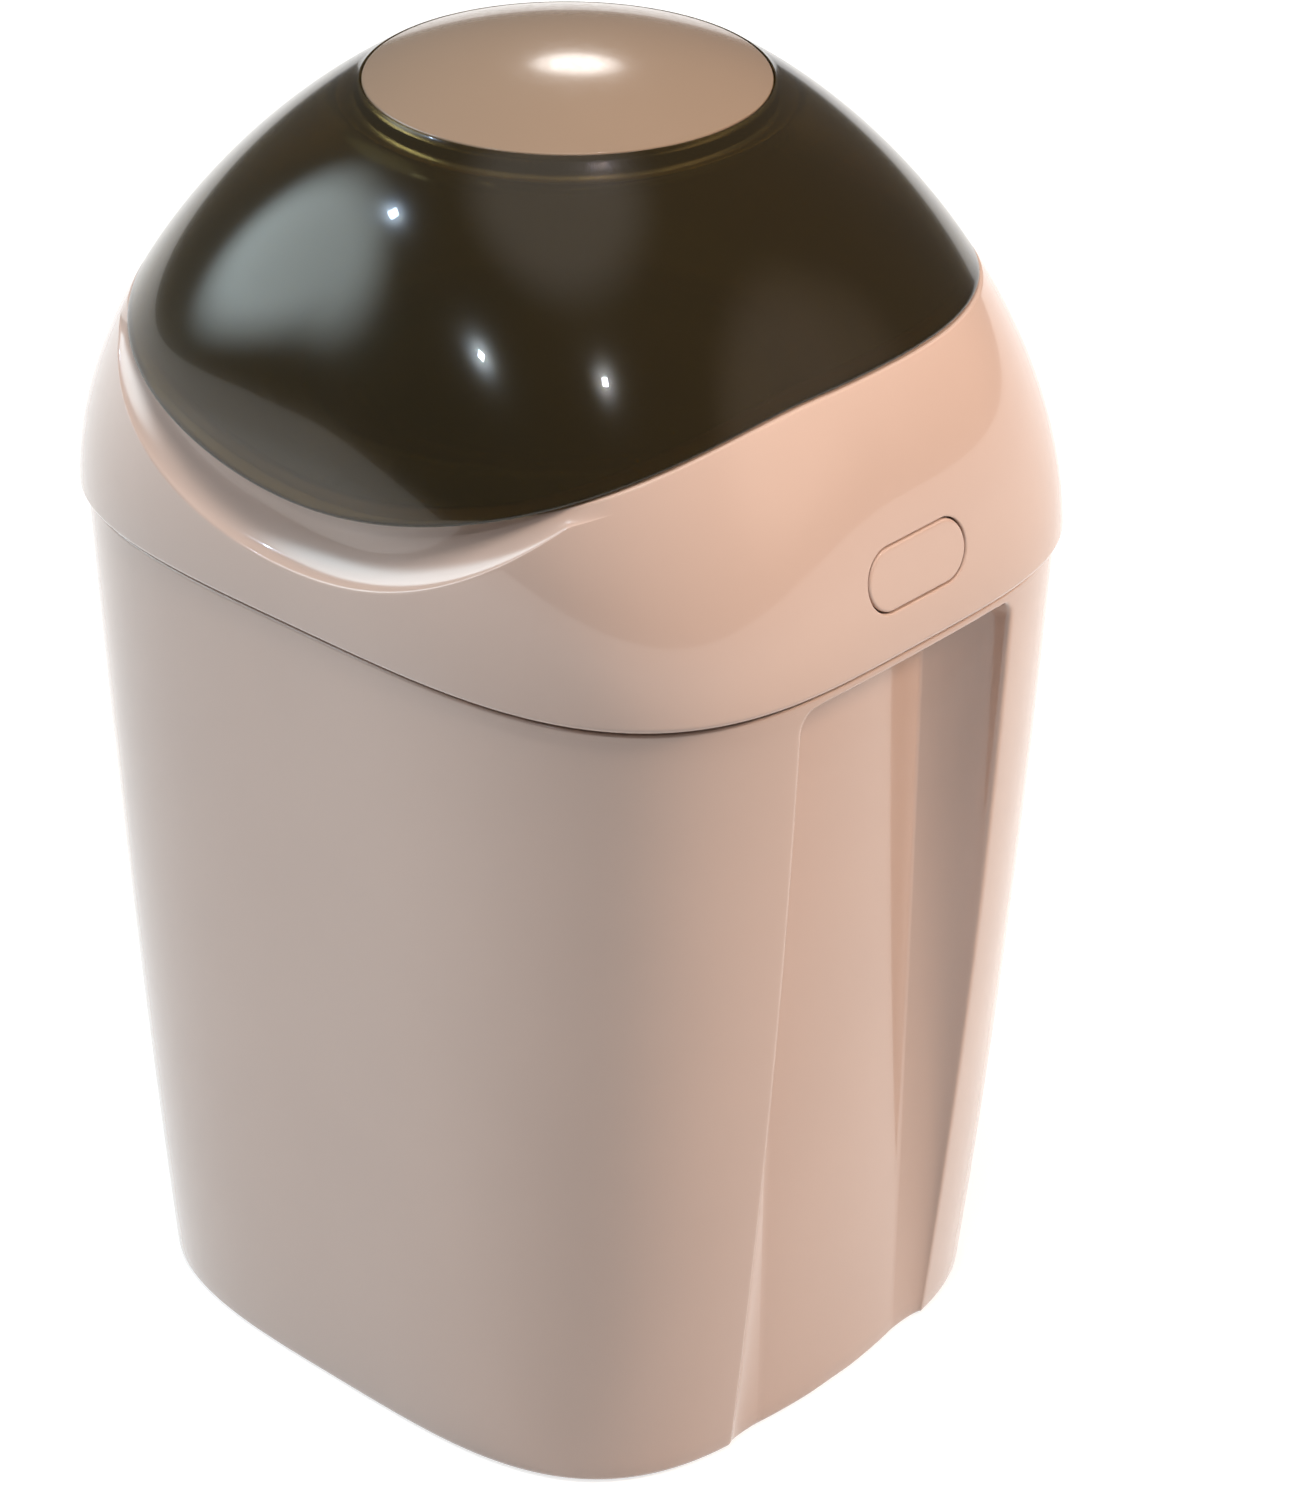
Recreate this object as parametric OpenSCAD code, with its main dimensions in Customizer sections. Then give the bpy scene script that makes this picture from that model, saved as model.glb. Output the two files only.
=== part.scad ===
// Nappy bin: a tub, a hinged head with a side catch button each side, and a smoked visor lid.
// Millimetres. X runs across the bin, -Y is the front, +Z is up.
// The origin is the centre of the foot, on the floor.

/* [Tub] */
// Width of the tub at the seam
tub_top_w = 260; // [252:1:268]
// Depth of the tub at the seam
tub_top_d = 217.4; // [212:0.2:224]
// Width of the tub at the foot
tub_base_w = 220; // [212:1:228]
// Depth of the tub at the foot
tub_base_d = 204; // [198:1:210]
// Height of the seam above the floor
seam_h = 262; // [250:1:275]
// How far the sides swell out halfway up
tub_bulge = 2.8; // [0:0.1:4]
// How square the plan outline is, where 2 is an ellipse
squareness = 3.5; // [3.2:0.05:3.8]
// Wall of the tub and the head
wall = 2.6; // [2.2:0.1:3]
// Thickness of the tub floor
floor_t = 3; // [2.4:0.1:4]
// Rounding where the sides meet the foot
foot_round = 2.5; // [1:0.1:4]

/* [Hand recess] */
// Width of each hand recess
recess_w = 89; // [82:1:96]
// Thickness of the ledge over each recess
ledge_t = 3.3; // [2.6:0.1:5]
// Width of the hollow that leads into each side of a recess
recess_fillet = 13; // [10:0.5:15]
// Width of the rounded top corners of a recess
recess_corner_w = 6.5; // [4:0.5:10]
// How sharply the panel meets the hollow, where 0 is a smooth join
recess_crease = 0.55; // [0:0.05:0.8]
// Height of the rounded top corners of a recess
recess_corner_h = 7.5; // [5:0.5:12]
// How far the recess panel bows out between its edges
panel_bow = 2.5; // [1:0.1:3.5]

/* [Head] */
// How far the head stands out past the tub on each side
overhang_w = 2.2; // [1.6:0.1:2.6]
// How far the head stands out past the tub at front and back
overhang_d = 1.8; // [1.4:0.1:2.2]
// Rounding of the head's lower edge
head_round = 2; // [0.8:0.1:2]
// Height from the seam to the rim of the top disc
crown_h = 129.4; // [124:0.2:136]
// How late the crown curves in, where 2 is an ellipse
crown_power = 1.8; // [1.7:0.02:1.9]
// Gap between tub and head
seam_gap = 1.2; // [0.5:0.1:1.5]

/* [Visor edge] */
// Height of the lid's edge above the seam, at the front
edge_front_h = 39.4; // [39:0.2:44]
// How much higher the edge is at the sides than at the front
edge_rise = 35; // [30:0.5:38]
// How fast the edge climbs towards the sides
edge_sweep = 1.12; // [1.05:0.01:1.2]
// How much higher the edge is at the back than at the sides
edge_back_rise = 2; // [0:0.1:3]
// Gap between head and lid
lid_gap = 0.8; // [0.5:0.1:1]
// Height of the finger scoop under the lid's edge
scoop_h = 19; // [16:0.5:21]
// Depth of the finger scoop
scoop_depth = 9; // [6:0.5:9.5]
// Width of the finger scoop
scoop_w = 184; // [160:2:190]
// Height of the upstand that the lid closes round
upstand_h = 3; // [2:0.1:4]

/* [Lid] */
// Wall of the lid
lid_wall = 2.6; // [2.2:0.1:3]
// Diameter of the top disc's rim
disc_d = 113.5; // [106:0.5:120]
// Rise of the top disc from its rim to its centre
disc_rise = 10.4; // [7:0.1:12]
// Depth of the seat that holds the top disc
disc_seat = 3; // [2:0.1:3.6]
// Gap round the top disc
disc_gap = 0.45; // [0.3:0.05:0.8]

/* [Cassette and twist ring] */
// Outer diameter of the film cassette
cassette_d = 152; // [146:1:154]
// Diameter of the cassette's open centre
cassette_bore = 114; // [104:1:118]
// Height of the cassette
cassette_h = 60; // [50:1:64]
// Wall of the cassette
cassette_wall = 1.6; // [1.2:0.1:2]
// Thickness of the film pack across its folds
film_t = 12; // [8:0.5:12.5]
// Wall of the cup that carries the cassette
cup_wall = 2.4; // [2:0.1:3]
// Height of the grip rim above its flange
grip_h = 9; // [6:0.5:12]
// Width of the twist ring's flange
flange_w = 8; // [6:0.5:9]
// Number of finger grips round the twist ring
grip_count = 12; // [8:1:16]

/* [Deck and throat] */
// Thickness of the deck
deck_t = 2.4; // [2:0.1:3]
// How far the deck's top lies under the head's front edge
deck_drop = 0.8; // [0.8:0.1:1.1]
// Height of the throat housing under the deck
housing_h = 82.8; // [80:0.2:90]
// Wall of the throat housing
housing_wall = 2.5; // [2:0.1:3]
// Diameter of the throat in the housing floor
throat_d = 80; // [70:1:84]
// Number of flexible fingers in the throat
finger_count = 12; // [10:1:14]
// Opening between the tips of the fingers
finger_open = 48; // [40:1:56]
// Thickness of a finger
finger_t = 1.2; // [0.8:0.1:1.6]

/* [Cutter] */
// Width of the cutter bar along its travel
cutter_w = 12; // [10:0.5:14]
// Thickness of the cutter bar
cutter_t = 3.8; // [3:0.1:5]
// Spacing of the rails
rail_spacing = 102; // [96:1:104]

/* [Catch buttons] */
// Length of a button
button_w = 40.2; // [36:0.2:48]
// Height of a button
button_h = 17.6; // [16:0.2:22]
// Distance from the deck down to a button's opening
button_drop = 2.5; // [0.6:0.1:4]
// Gap round a button
button_gap = 0.5; // [0.3:0.05:0.8]
// How far a button goes in
button_travel = 4; // [3:0.1:4.4]
// Thickness of a button's cap
button_t = 3.4; // [2.6:0.1:4]
// Diameter of the stem behind a button
stem_d = 8; // [6:0.5:9]

/* [Hinges] */
// Diameter of the steel pin between tub and head
head_pin_d = 5; // [4:0.1:6]
// Diameter of the steel pin between head and lid
lid_pin_d = 4; // [3:0.1:4.4]
// Plastic round each hinge pin
barrel_wall = 2.6; // [2:0.1:3]
// Length of the middle barrel of the head hinge
head_barrel = 44; // [36:1:52]
// Length of the middle barrel of the lid hinge
lid_barrel = 28; // [22:1:34]

/* [Hidden] */

shell_colour = [0.80, 0.70, 0.66];
smoke_colour = [0.16, 0.12, 0.08];
disc_colour = [0.46, 0.38, 0.32];
inner_colour = [0.86, 0.85, 0.83];
steel_colour = [0.70, 0.71, 0.73];
film_colour = [0.62, 0.78, 0.84];

run_clear = 0.05;   // radial clearance of a pin or stem in its bore
ring_clear = 0.1;   // radial clearance of the twist ring in the deck
face_clear = 0.3;   // gap between flat faces that pass each other
seat_clear = 0.25;  // gap round a piece that is seated in another
eps = 0.01;

// ---- outline shared by the tub, the head and the lid ----

function radial(ang, a, b, n) =
    pow(pow(abs(cos(ang)) / a, n) + pow(abs(sin(ang)) / b, n), -1 / n);

function tub_a(z) =
    let (t = z / seam_h)
    tub_base_w / 2 + (tub_top_w - tub_base_w) / 2 * t + 4 * tub_bulge * t * (1 - t);
function tub_b(z) = tub_base_d / 2 + (tub_top_d - tub_base_d) / 2 * z / seam_h;
function tub_side_x(y, z) = tub_a(z) * pow(1 - pow(abs(y) / tub_b(z), squareness), 1 / squareness);

// hand recess: the panel keeps the foot's outline all the way up
ledge_z = seam_h - ledge_t;
recess_y = recess_w / 2;
function recess_half(z) =
    let (u = max(0, z - (ledge_z - recess_corner_h)) / recess_corner_h)
    recess_y - recess_corner_w + recess_corner_w * sqrt(max(0, 1 - u * u));
function panel_x(y) =
    tub_base_w / 2 - panel_bow * pow(y / (recess_y - recess_fillet), 2);
// x of the recess at the fraction f of the way from the panel (0) out to the side (1)
function recess_x(y, z, f) =
    let (side = tub_side_x(y, z), deep = min(panel_x(y), side - 0.3),
        out = recess_crease * sin(90 * f) + (1 - recess_crease) * (1 - cos(90 * f)))
    deep + (side - deep) * out;

panel_steps = 4;
fillet_steps = 5;
side_steps = 31;
// positions across a recess: [0 on the panel or 0..1 through the hollow, share of the width]
half_steps = concat(
    [for (i = [0:panel_steps - 1]) [0, i / panel_steps]],
    [for (i = [0:fillet_steps]) [i / fillet_steps, 1]]);
full_steps = concat(
    [for (i = [len(half_steps) - 1:-1:1]) [half_steps[i][0], half_steps[i][1], -1]],
    [for (s = half_steps) [s[0], s[1], 1]]);

function recess_side(z, dir, cut) =
    let (ye = recess_half(min(z, ledge_z)), yf = ye - recess_fillet)
    [for (s = full_steps)
        let (y = s[2] * (yf * s[1] + recess_fillet * sin(90 * s[0])))
        [dir * (cut ? recess_x(y, z, s[0]) : tub_side_x(y, z)), dir * y]];

function tub_arc(z, start) =
    let (ye = recess_half(min(z, ledge_z)),
        edge = atan2(ye, tub_side_x(ye, z)),
        step = (180 - 2 * edge) / (side_steps + 1))
    [for (i = [1:side_steps])
        let (ang = start + edge + i * step, r = radial(ang, tub_a(z), tub_b(z), squareness))
        [r * cos(ang), r * sin(ang)]];

function tub_outline(z, cut) = concat(
    recess_side(z, 1, cut), tub_arc(z, 0), recess_side(z, -1, cut), tub_arc(z, 180));

// closed outline moved in by d along its own normals
function inset(pts, d) =
    let (n = len(pts))
    [for (i = [0:n - 1])
        let (p = pts[i],
            u = p - pts[(i + n - 1) % n], v = pts[(i + 1) % n] - p,
            nu = [u[1], -u[0]] / norm(u), nv = [v[1], -v[0]] / norm(v))
        p - d * (nu + nv) / (1 + nu * nv)];

function lifted(pts, z) = [for (p = pts) [p[0], p[1], z]];

// solid skinned over rings of points, all of one length, and closed by a fan at each end
module skin(rings, low, high) {
    n = len(rings[0]);
    m = len(rings);
    pts = concat([for (r = rings) for (p = r) p], [low, high]);
    walls = [for (k = [0:m - 2]) for (i = [0:n - 1])
        let (j = (i + 1) % n, a = k * n, b = (k + 1) * n)
        for (f = [[a + i, b + j, a + j], [a + i, b + i, b + j]]) f];
    ends = [for (i = [0:n - 1])
        let (j = (i + 1) % n)
        for (f = [[n * m, i, j], [n * m + 1, (m - 1) * n + j, (m - 1) * n + i]]) f];
    polyhedron(points = pts, faces = concat(walls, ends), convexity = 8);
}

// solid skinned over rings that close on themselves
module loop_skin(rings) {
    n = len(rings[0]);
    m = len(rings);
    faces = [for (k = [0:m - 1]) for (i = [0:n - 1])
        let (j = (i + 1) % n, a = k * n, b = ((k + 1) % m) * n)
        for (f = [[a + i, b + j, a + j], [a + i, b + i, b + j]]) f];
    polyhedron(points = [for (r = rings) for (p = r) p], faces = faces, convexity = 8);
}

// ---- crown: the one curved envelope of the head and the lid ----

head_a = tub_top_w / 2 + overhang_w;
head_b = tub_top_d / 2 + overhang_d;
disc_z = seam_h + crown_h;
crown_k = pow(1 - pow(disc_d / 2 / head_a, 2), 1 / crown_power);

function crown_t(z) = (z - seam_h) / crown_h;
function crown_a(z) = head_a * sqrt(1 - pow(crown_k * crown_t(z), crown_power));
function crown_b(z) = crown_a(z) * (head_b / head_a + (1 - head_b / head_a) * crown_t(z));
function crown_n(z) = squareness - (squareness - 2) * crown_t(z);
function crown_r(ang, z) = radial(ang, crown_a(z), crown_b(z), crown_n(z));

// how far a wall of thickness w reaches in along the radius, on a face that slants
function reach_in(ang, z, w) =
    let (r = crown_r(ang, z),
        ra = (crown_r(ang + 1, z) - crown_r(ang - 1, z)) / (2 * PI / 180),
        rz = crown_r(ang, z + 1) - crown_r(ang, z))
    w * sqrt(1 + pow(ra / r, 2) + rz * rz);

// lid edge: low at the front, high at the sides and the back
function from_front(ang) = atan2(abs(cos(ang)), -sin(ang));
function edge_z(ang) =
    let (f = from_front(ang))
    seam_h + edge_front_h + edge_rise * pow(sin(min(90, edge_sweep * f)), 2)
        + edge_back_rise * (1 - cos(1.8 * max(0, f - 80))) / 2;
edge_back_z = edge_z(90);

// finger scoop: a hollow in the front of the head that runs in under the lid's edge
function scoop_share(ang) =
    from_front(ang) < 90
        ? min(1, crown_r(ang, edge_z(ang)) * abs(cos(ang)) / (scoop_w / 2)) : 1;
function scoop_top(ang) = edge_z(ang) - lid_gap / 2;
function scoop_foot(ang) = scoop_top(ang) - max(4, scoop_h * (1 - pow(scoop_share(ang), 3)));
function scoop_in(ang, z) =
    let (u = (z - scoop_foot(ang)) / (scoop_top(ang) - scoop_foot(ang)))
    scoop_depth * (1 - pow(scoop_share(ang), 2))
        * (u <= 0 ? 0 : sqrt(1 - pow(1 - min(1, u), 2)));

columns = 96;
angles = [for (i = [0:columns - 1]) i * 360 / columns];
function polar(ang, r, z) = [r * cos(ang), r * sin(ang), z];

// inner face of the head's wall, which follows the scoop at the wall's own thickness
function head_inner_r(ang, z) =
    crown_r(ang, z) - scoop_in(ang, z + wall) - reach_in(ang, z, wall);

upstand_in = lid_wall + 0.8;
upstand_t = 2;

// ---- levels and radii worked out from the driving sizes ----

deck_top = scoop_top(-90) - deck_drop;
deck_low = deck_top - deck_t;
head_low = seam_h + seam_gap / 2;
tub_high = seam_h - seam_gap / 2;

cassette_r = cassette_d / 2;
cup_in = cassette_r + 1;
cup_out = cup_in + cup_wall;
journal_r = cup_out + 2;
deck_bore = journal_r + ring_clear;
ring_out = journal_r + flange_w;
flange_low = deck_top + face_clear / 2;
flange_t = 2.6;
grip_set = 0.6;
grip_t = 4.4;
grip_cut_r = 8.4;
grip_cut_out = 6;
grip_top = flange_low + flange_t + grip_h;
cassette_top = flange_low + flange_t + 1;
cassette_low = cassette_top - cassette_h;
cup_floor_t = 2.4;
cup_low = cassette_low - cup_floor_t;
cup_hole = cassette_bore / 2;
core_drop = 6;
film_folds = 14;
film_headroom = 12;
fold_groove = 0.8;
cover_t = 2;
cover_lip_h = 5;
cover_lip_t = 1.4;
cover_gap = 4;

housing_in = journal_r + 1.5;
housing_out = housing_in + housing_wall;
housing_low = deck_low - housing_h;
housing_floor_t = 2.4;
housing_flange_t = 2.5;
screw_ring_r = ring_out + 4;
housing_flange_r = screw_ring_r + 4;
seat_lip_w = 5;
seat_lip_t = 2;
housing_screw_count = 6;

finger_seat_z = cup_low - 8;
finger_ring_t = 2;
finger_ring_in = housing_in - 14;
finger_root = finger_ring_in + 2;
finger_drop = 12;
finger_gap_ang = 1.5;

rail_t = 2;
rail_lip = 4;
rail_lip_t = 1.6;
rail_low = housing_low - cutter_t - 2 * face_clear - rail_lip_t;
rail_y = rail_spacing / 2 + rail_t;
rail_end = floor(sqrt(pow(housing_out, 2) - pow(rail_y + rail_t, 2)));
bar_low = rail_low + rail_lip_t + face_clear;
bar_half = rail_y - face_clear;
cutter_rest_x = -(rail_end - rail_t - face_clear - cutter_w / 2);
blade_t = 0.6;
tab_h = 8;
tab_w = 14;
tab_t = 6;
tab_y = -36;

button_z = deck_low - button_drop - button_gap - button_h / 2;
button_surface = crown_a(button_z);
button_lean = atan(crown_a(button_z - 0.5) - crown_a(button_z + 0.5));
button_sag = 0.3;
cap_back = button_surface - button_sag - button_t;
spring_room = 4.5;
guide_face = cap_back - button_travel - spring_room;
opening_depth = 8;
guide_t = 8;
guide_half = 11;
arm_t = 2.5;
arm_gap = 1.5;
arm_in = housing_out + arm_gap;
arm_out = arm_in + button_travel + arm_t;
nose_reach = 7;
arm_half = 8;
arm_over = 6;
nose_z = seam_h - 16;
nose_t = 3;
nose_tip = arm_out + nose_reach;
catch_t = 3;
catch_half = 10;
catch_tip = nose_tip + face_clear;
catch_seat = 0.02;

spring_turns = 4;
spring_wire = 0.9;
spring_sides = 6;
spring_r = stem_d / 2 + 1.7;

head_pin_r = head_pin_d / 2;
lid_pin_r = lid_pin_d / 2;
head_barrel_r = head_pin_r + barrel_wall + 0.4;
lid_barrel_r = lid_pin_r + barrel_wall - 0.4;
head_axis_z = seam_h - 4;
head_axis_y = tub_b(head_axis_z) + head_barrel_r + 0.9;
lid_axis_z = edge_back_z + lid_gap / 2 + 0.2;
lid_axis_y = crown_b(lid_axis_z) + lid_barrel_r + 1.5;
side_barrel = 18;
lid_side_barrel = 13;
barrel_gap = 0.3;
head_pin_half = head_barrel / 2 + barrel_gap + side_barrel;
lid_pin_half = lid_barrel / 2 + barrel_gap + lid_side_barrel;

boss_r = 4;
boss_h = 4.8;
boss_seat = 0.02;
boss_web_t = 2;
boss_ang = 41;
boss_set = 10.5;
boss_place = crown_r(boss_ang, deck_top) - boss_set;
screw_r = 1.4;
screw_head_r = 2.9;
screw_head_t = 2;

// prism along X whose outline is drawn in the Y-Z plane
module across(x0, x1) {
    translate([x0, 0, 0]) rotate([90, 0, 90]) linear_extrude(x1 - x0) children();
}

module rod_x(r, x0, x1, y, z) {
    translate([x0, y, z]) rotate([0, 90, 0]) cylinder(r = r, h = x1 - x0, $fn = 64);
}

module pin_bore(pin_r, half, y, z) {
    rod_x(pin_r + run_clear, -half - 1, half + 1, y, z);
}

module tube(r_out, r_in, z0, z1) {
    difference() {
        translate([0, 0, z0]) cylinder(r = r_out, h = z1 - z0, $fn = 128);
        translate([0, 0, z0 - 1]) cylinder(r = r_in, h = z1 - z0 + 2, $fn = 128);
    }
}

// ---- tub ----

module tub_body() {
    levels = concat(
        [floor_t, seam_h * 0.22, seam_h * 0.45, seam_h * 0.68],
        [for (u = [0, 0.45, 0.75, 0.93, 1]) ledge_z - recess_corner_h * (1 - u)]);
    outside = concat(
        [for (u = [0, 45, 90])
            let (z = foot_round * (1 - cos(u)))
            lifted(inset(tub_outline(z, true), foot_round * (1 - sin(u))), z)],
        [for (z = levels) if (z > foot_round) lifted(tub_outline(z, true), z)],
        [for (z = [ledge_z, tub_high]) lifted(tub_outline(z, false), z)]);
    inside = concat(
        [lifted(inset(tub_outline(ledge_z, true), wall), tub_high)],
        [for (i = [len(levels) - 1:-1:0])
            lifted(inset(tub_outline(levels[i], true), wall), levels[i])]);
    skin(concat(outside, inside), [0, 0, 0], [0, 0, floor_t]);
}

module tub_hinge_barrel() {
    half = head_barrel / 2;
    rod_x(head_barrel_r, -half, half, head_axis_y, head_axis_z);
    across(-half, half) polygon([
        [tub_b(head_axis_z - 24) - wall / 2, head_axis_z - 24],
        [tub_b(head_axis_z) - wall / 2, head_axis_z],
        [head_axis_y, head_axis_z],
        [head_axis_y + head_barrel_r * 0.7, head_axis_z - head_barrel_r * 0.7]]);
}

module tub_shell() {
    color(shell_colour) difference() {
        union() {
            tub_body();
            tub_hinge_barrel();
        }
        pin_bore(head_pin_r, head_pin_half, head_axis_y, head_axis_z);
    }
}

module head_hinge_pin() {
    color(steel_colour)
        rod_x(head_pin_r, -head_pin_half, head_pin_half, head_axis_y, head_axis_z);
}

// catch rib on the inner face of the recess panel
module catch_rib() {
    low = nose_z + nose_t + face_clear;
    root = [for (s = [1, 0, -1]) [panel_x(s * catch_half) - wall - catch_seat, s * catch_half]];
    color(inner_colour) translate([0, 0, low]) linear_extrude(catch_t)
        polygon(concat([[catch_tip, -catch_half], [catch_tip, catch_half]], root));
}
module catch_right() { catch_rib(); }
module catch_left() { mirror([1, 0, 0]) catch_rib(); }

// ---- head ----

module head_body() {
    round_top = head_low + head_round;
    outside = concat(
        [for (q = [0, 30, 60]) [for (a = angles)
            let (z = head_low + head_round * (1 - cos(q)))
            polar(a, crown_r(a, z) - head_round * (1 - sin(q)), z)]],
        [for (u = [0, 0.25, 0.5, 0.75, 1]) [for (a = angles)
            let (z = round_top + (scoop_foot(a) - round_top) * u)
            polar(a, crown_r(a, z), z)]],
        [for (u = [8, 22, 42, 66, 90]) [for (a = angles)
            let (z = scoop_foot(a) + (scoop_top(a) - scoop_foot(a)) * (1 - cos(u)))
            polar(a, crown_r(a, z) - scoop_in(a, z), z)]]);
    rim = [for (s = [[0, 0], [upstand_h, 0], [upstand_h, upstand_t], [-2, upstand_t]])
        [for (a = angles)
            let (scoop = scoop_in(a, scoop_top(a)),
                z = max(scoop_top(a) + s[0], deck_top + (s[0] < 0 ? 0.7 : 0)),
                back = s[1] > 0
                    ? max(upstand_in + upstand_t, scoop + wall) : max(upstand_in, scoop + 0.3))
            polar(a, crown_r(a, z) - back, z)]];
    under_rim = [for (a = angles) max(scoop_top(a) - 5, deck_top + 0.6)];
    under_deck = [for (u = [1, 0.82, 0.65, 0.47, 0.22, 0]) head_low + (deck_low - 0.4 - head_low) * u];
    inside = concat(
        [for (u = [0, 0.5]) [for (i = [0:columns - 1])
            let (a = angles[i], z = under_rim[i] + (deck_top + 0.5 - under_rim[i]) * u)
            polar(a, head_inner_r(a, z), z)]],
        [for (z = concat([deck_top + 0.4], under_deck))
            [for (a = angles) polar(a, head_inner_r(a, z), z)]]);
    loop_skin(concat(outside, rim, inside));
}

module stadium(w, h, x0, x1, z) {
    half = (w - h) / 2;
    for (s = [-1, 1]) rod_x(h / 2, x0, x1, s * half, z);
    translate([x0, -half, z - h / 2]) cube([x1 - x0, 2 * half, h]);
}

module head_hinge_lugs() {
    inner = head_barrel / 2 + barrel_gap;
    wall_y = crown_b(head_low + 10) - wall / 2;
    for (s = [-1, 1]) {
        x0 = s > 0 ? inner : -inner - side_barrel;
        rod_x(head_barrel_r, x0, x0 + side_barrel, head_axis_y, head_axis_z);
        across(x0, x0 + side_barrel) polygon([
            [crown_b(head_low) - wall / 2, head_low],
            [crown_b(head_low) + 0.2, head_low],
            [head_axis_y - head_barrel_r + 0.4, head_axis_z],
            [head_axis_y, head_axis_z - head_barrel_r / 2],
            [head_axis_y + head_barrel_r - 0.5, head_axis_z + 1],
            [wall_y, head_low + 18]]);
    }
}

module lid_hinge_lugs_on_head() {
    inner = lid_barrel / 2 + barrel_gap;
    top = edge_back_z - lid_gap / 2 - 1.2;
    for (s = [-1, 1]) {
        x0 = s > 0 ? inner : -inner - lid_side_barrel;
        rod_x(lid_barrel_r, x0, x0 + lid_side_barrel, lid_axis_y, lid_axis_z);
        across(x0, x0 + lid_side_barrel) polygon([
            [crown_b(top) - wall / 2, top],
            [crown_b(top - 16) - wall / 2, top - 16],
            [lid_axis_y, lid_axis_z - lid_barrel_r],
            [lid_axis_y, lid_axis_z]]);
    }
}

module deck_boss() {
    end = crown_r(boss_ang, deck_top + boss_h) - 0.4;
    translate([0, 0, deck_top + boss_seat]) difference() {
        union() {
            translate([boss_place, 0, 0]) cylinder(r = boss_r, h = boss_h, $fn = 48);
            translate([boss_place, -boss_web_t / 2, 0])
                cube([end - boss_place, boss_web_t, boss_h]);
        }
        translate([boss_place, 0, -1])
            cylinder(r = screw_r + run_clear, h = boss_h, $fn = 32);
    }
}

module at_bosses() {
    for (m = [0, 1]) mirror([m, 0, 0])
        for (s = [-1, 1]) rotate([0, 0, s * boss_ang]) children();
}

module head_shell() {
    gap2 = 2 * button_gap;
    color(shell_colour) {
        difference() {
            union() {
                head_body();
                head_hinge_lugs();
                lid_hinge_lugs_on_head();
                at_bosses() deck_boss();
            }
            for (s = [-1, 1])
                stadium(button_w + gap2, button_h + gap2,
                    s > 0 ? cap_back - opening_depth : -button_surface - 5,
                    s > 0 ? button_surface + 5 : opening_depth - cap_back, button_z);
            pin_bore(head_pin_r, head_pin_half, head_axis_y, head_axis_z);
            pin_bore(lid_pin_r, lid_pin_half, lid_axis_y, lid_axis_z);
        }
    }
}

module guide_block(dir) {
    x0 = dir > 0 ? guide_face - guide_t : -guide_face;
    difference() {
        translate([x0, -guide_half, button_z - stem_d])
            cube([guide_t, 2 * guide_half, deck_low - button_z + stem_d + eps]);
        rod_x(stem_d / 2 + run_clear, x0 - 1, x0 + guide_t + 1, 0, button_z);
    }
}

module deck() {
    outline = [for (a = angles)
        let (r = min(head_inner_r(a, deck_low), head_inner_r(a, deck_top)) - seat_clear)
        [r * cos(a), r * sin(a)]];
    color(inner_colour) {
        difference() {
            translate([0, 0, deck_low]) linear_extrude(deck_t) polygon(outline);
            translate([0, 0, deck_low - 1]) cylinder(r = deck_bore, h = deck_t + 2, $fn = 128);
            at_bosses() translate([boss_place, 0, deck_low - 1])
                cylinder(r = screw_r + 0.2, h = deck_t + 2, $fn = 32);
            housing_screw_places() translate([0, 0, deck_low - 1])
                cylinder(r = screw_r + run_clear, h = deck_t + 2, $fn = 32);
        }
        housing_screw_places() difference() {
            translate([0, 0, deck_top - eps]) cylinder(r = 3, h = 4, $fn = 32);
            translate([0, 0, deck_top - 1]) cylinder(r = screw_r + run_clear, h = 4, $fn = 32);
        }
        for (s = [-1, 1]) guide_block(s);
    }
}

module housing_screw_places() {
    for (i = [0:housing_screw_count - 1])
        rotate([0, 0, 30 + i * 360 / housing_screw_count]) translate([screw_ring_r, 0, 0])
            children();
}

// round-headed screw that points up, its head's flat face at z
module screw(z, shank) {
    translate([0, 0, z - screw_head_t]) cylinder(r = screw_head_r, h = screw_head_t, $fn = 32);
    translate([0, 0, z - eps]) cylinder(r = screw_r, h = shank, $fn = 32);
}

module deck_screws() {
    color(steel_colour) at_bosses() translate([boss_place, 0, 0])
        screw(deck_low, deck_t + boss_h - 2);
}

module housing_screws() {
    color(steel_colour) housing_screw_places()
        screw(deck_low - housing_flange_t, housing_flange_t + deck_t + 2);
}

module throat_housing() {
    seat = finger_seat_z;
    color(inner_colour) difference() {
        union() {
            tube(housing_out, housing_in, housing_low, deck_low);
            tube(housing_out, throat_d / 2, housing_low, housing_low + housing_floor_t);
            tube(housing_flange_r, housing_in, deck_low - housing_flange_t, deck_low);
            tube(housing_in + eps, housing_in - seat_lip_w, seat - seat_lip_t, seat);
        }
        housing_screw_places() translate([0, 0, deck_low - housing_flange_t - 1])
            cylinder(r = screw_r + 0.2, h = housing_flange_t + 2, $fn = 32);
    }
}

// ring of flexible fingers that lets film and nappies down but not up
module film_fingers() {
    z = finger_seat_z;
    run = finger_root - finger_open / 2;
    slope = atan(finger_drop / run);
    half = 180 / finger_count - finger_gap_ang;
    tip = -run / cos(slope);
    w0 = finger_root * tan(half);
    w1 = finger_open / 2 * tan(half);
    color(inner_colour) {
        tube(housing_in - seat_clear, finger_ring_in, z, z + finger_ring_t);
        for (i = [0:finger_count - 1])
            rotate([0, 0, i * 360 / finger_count])
                translate([finger_root, 0, z + 0.2]) rotate([0, -slope, 0])
                    linear_extrude(finger_t)
                        polygon([[0, -w0], [0, w0], [tip, w1], [tip, -w1]]);
    }
}

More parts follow.
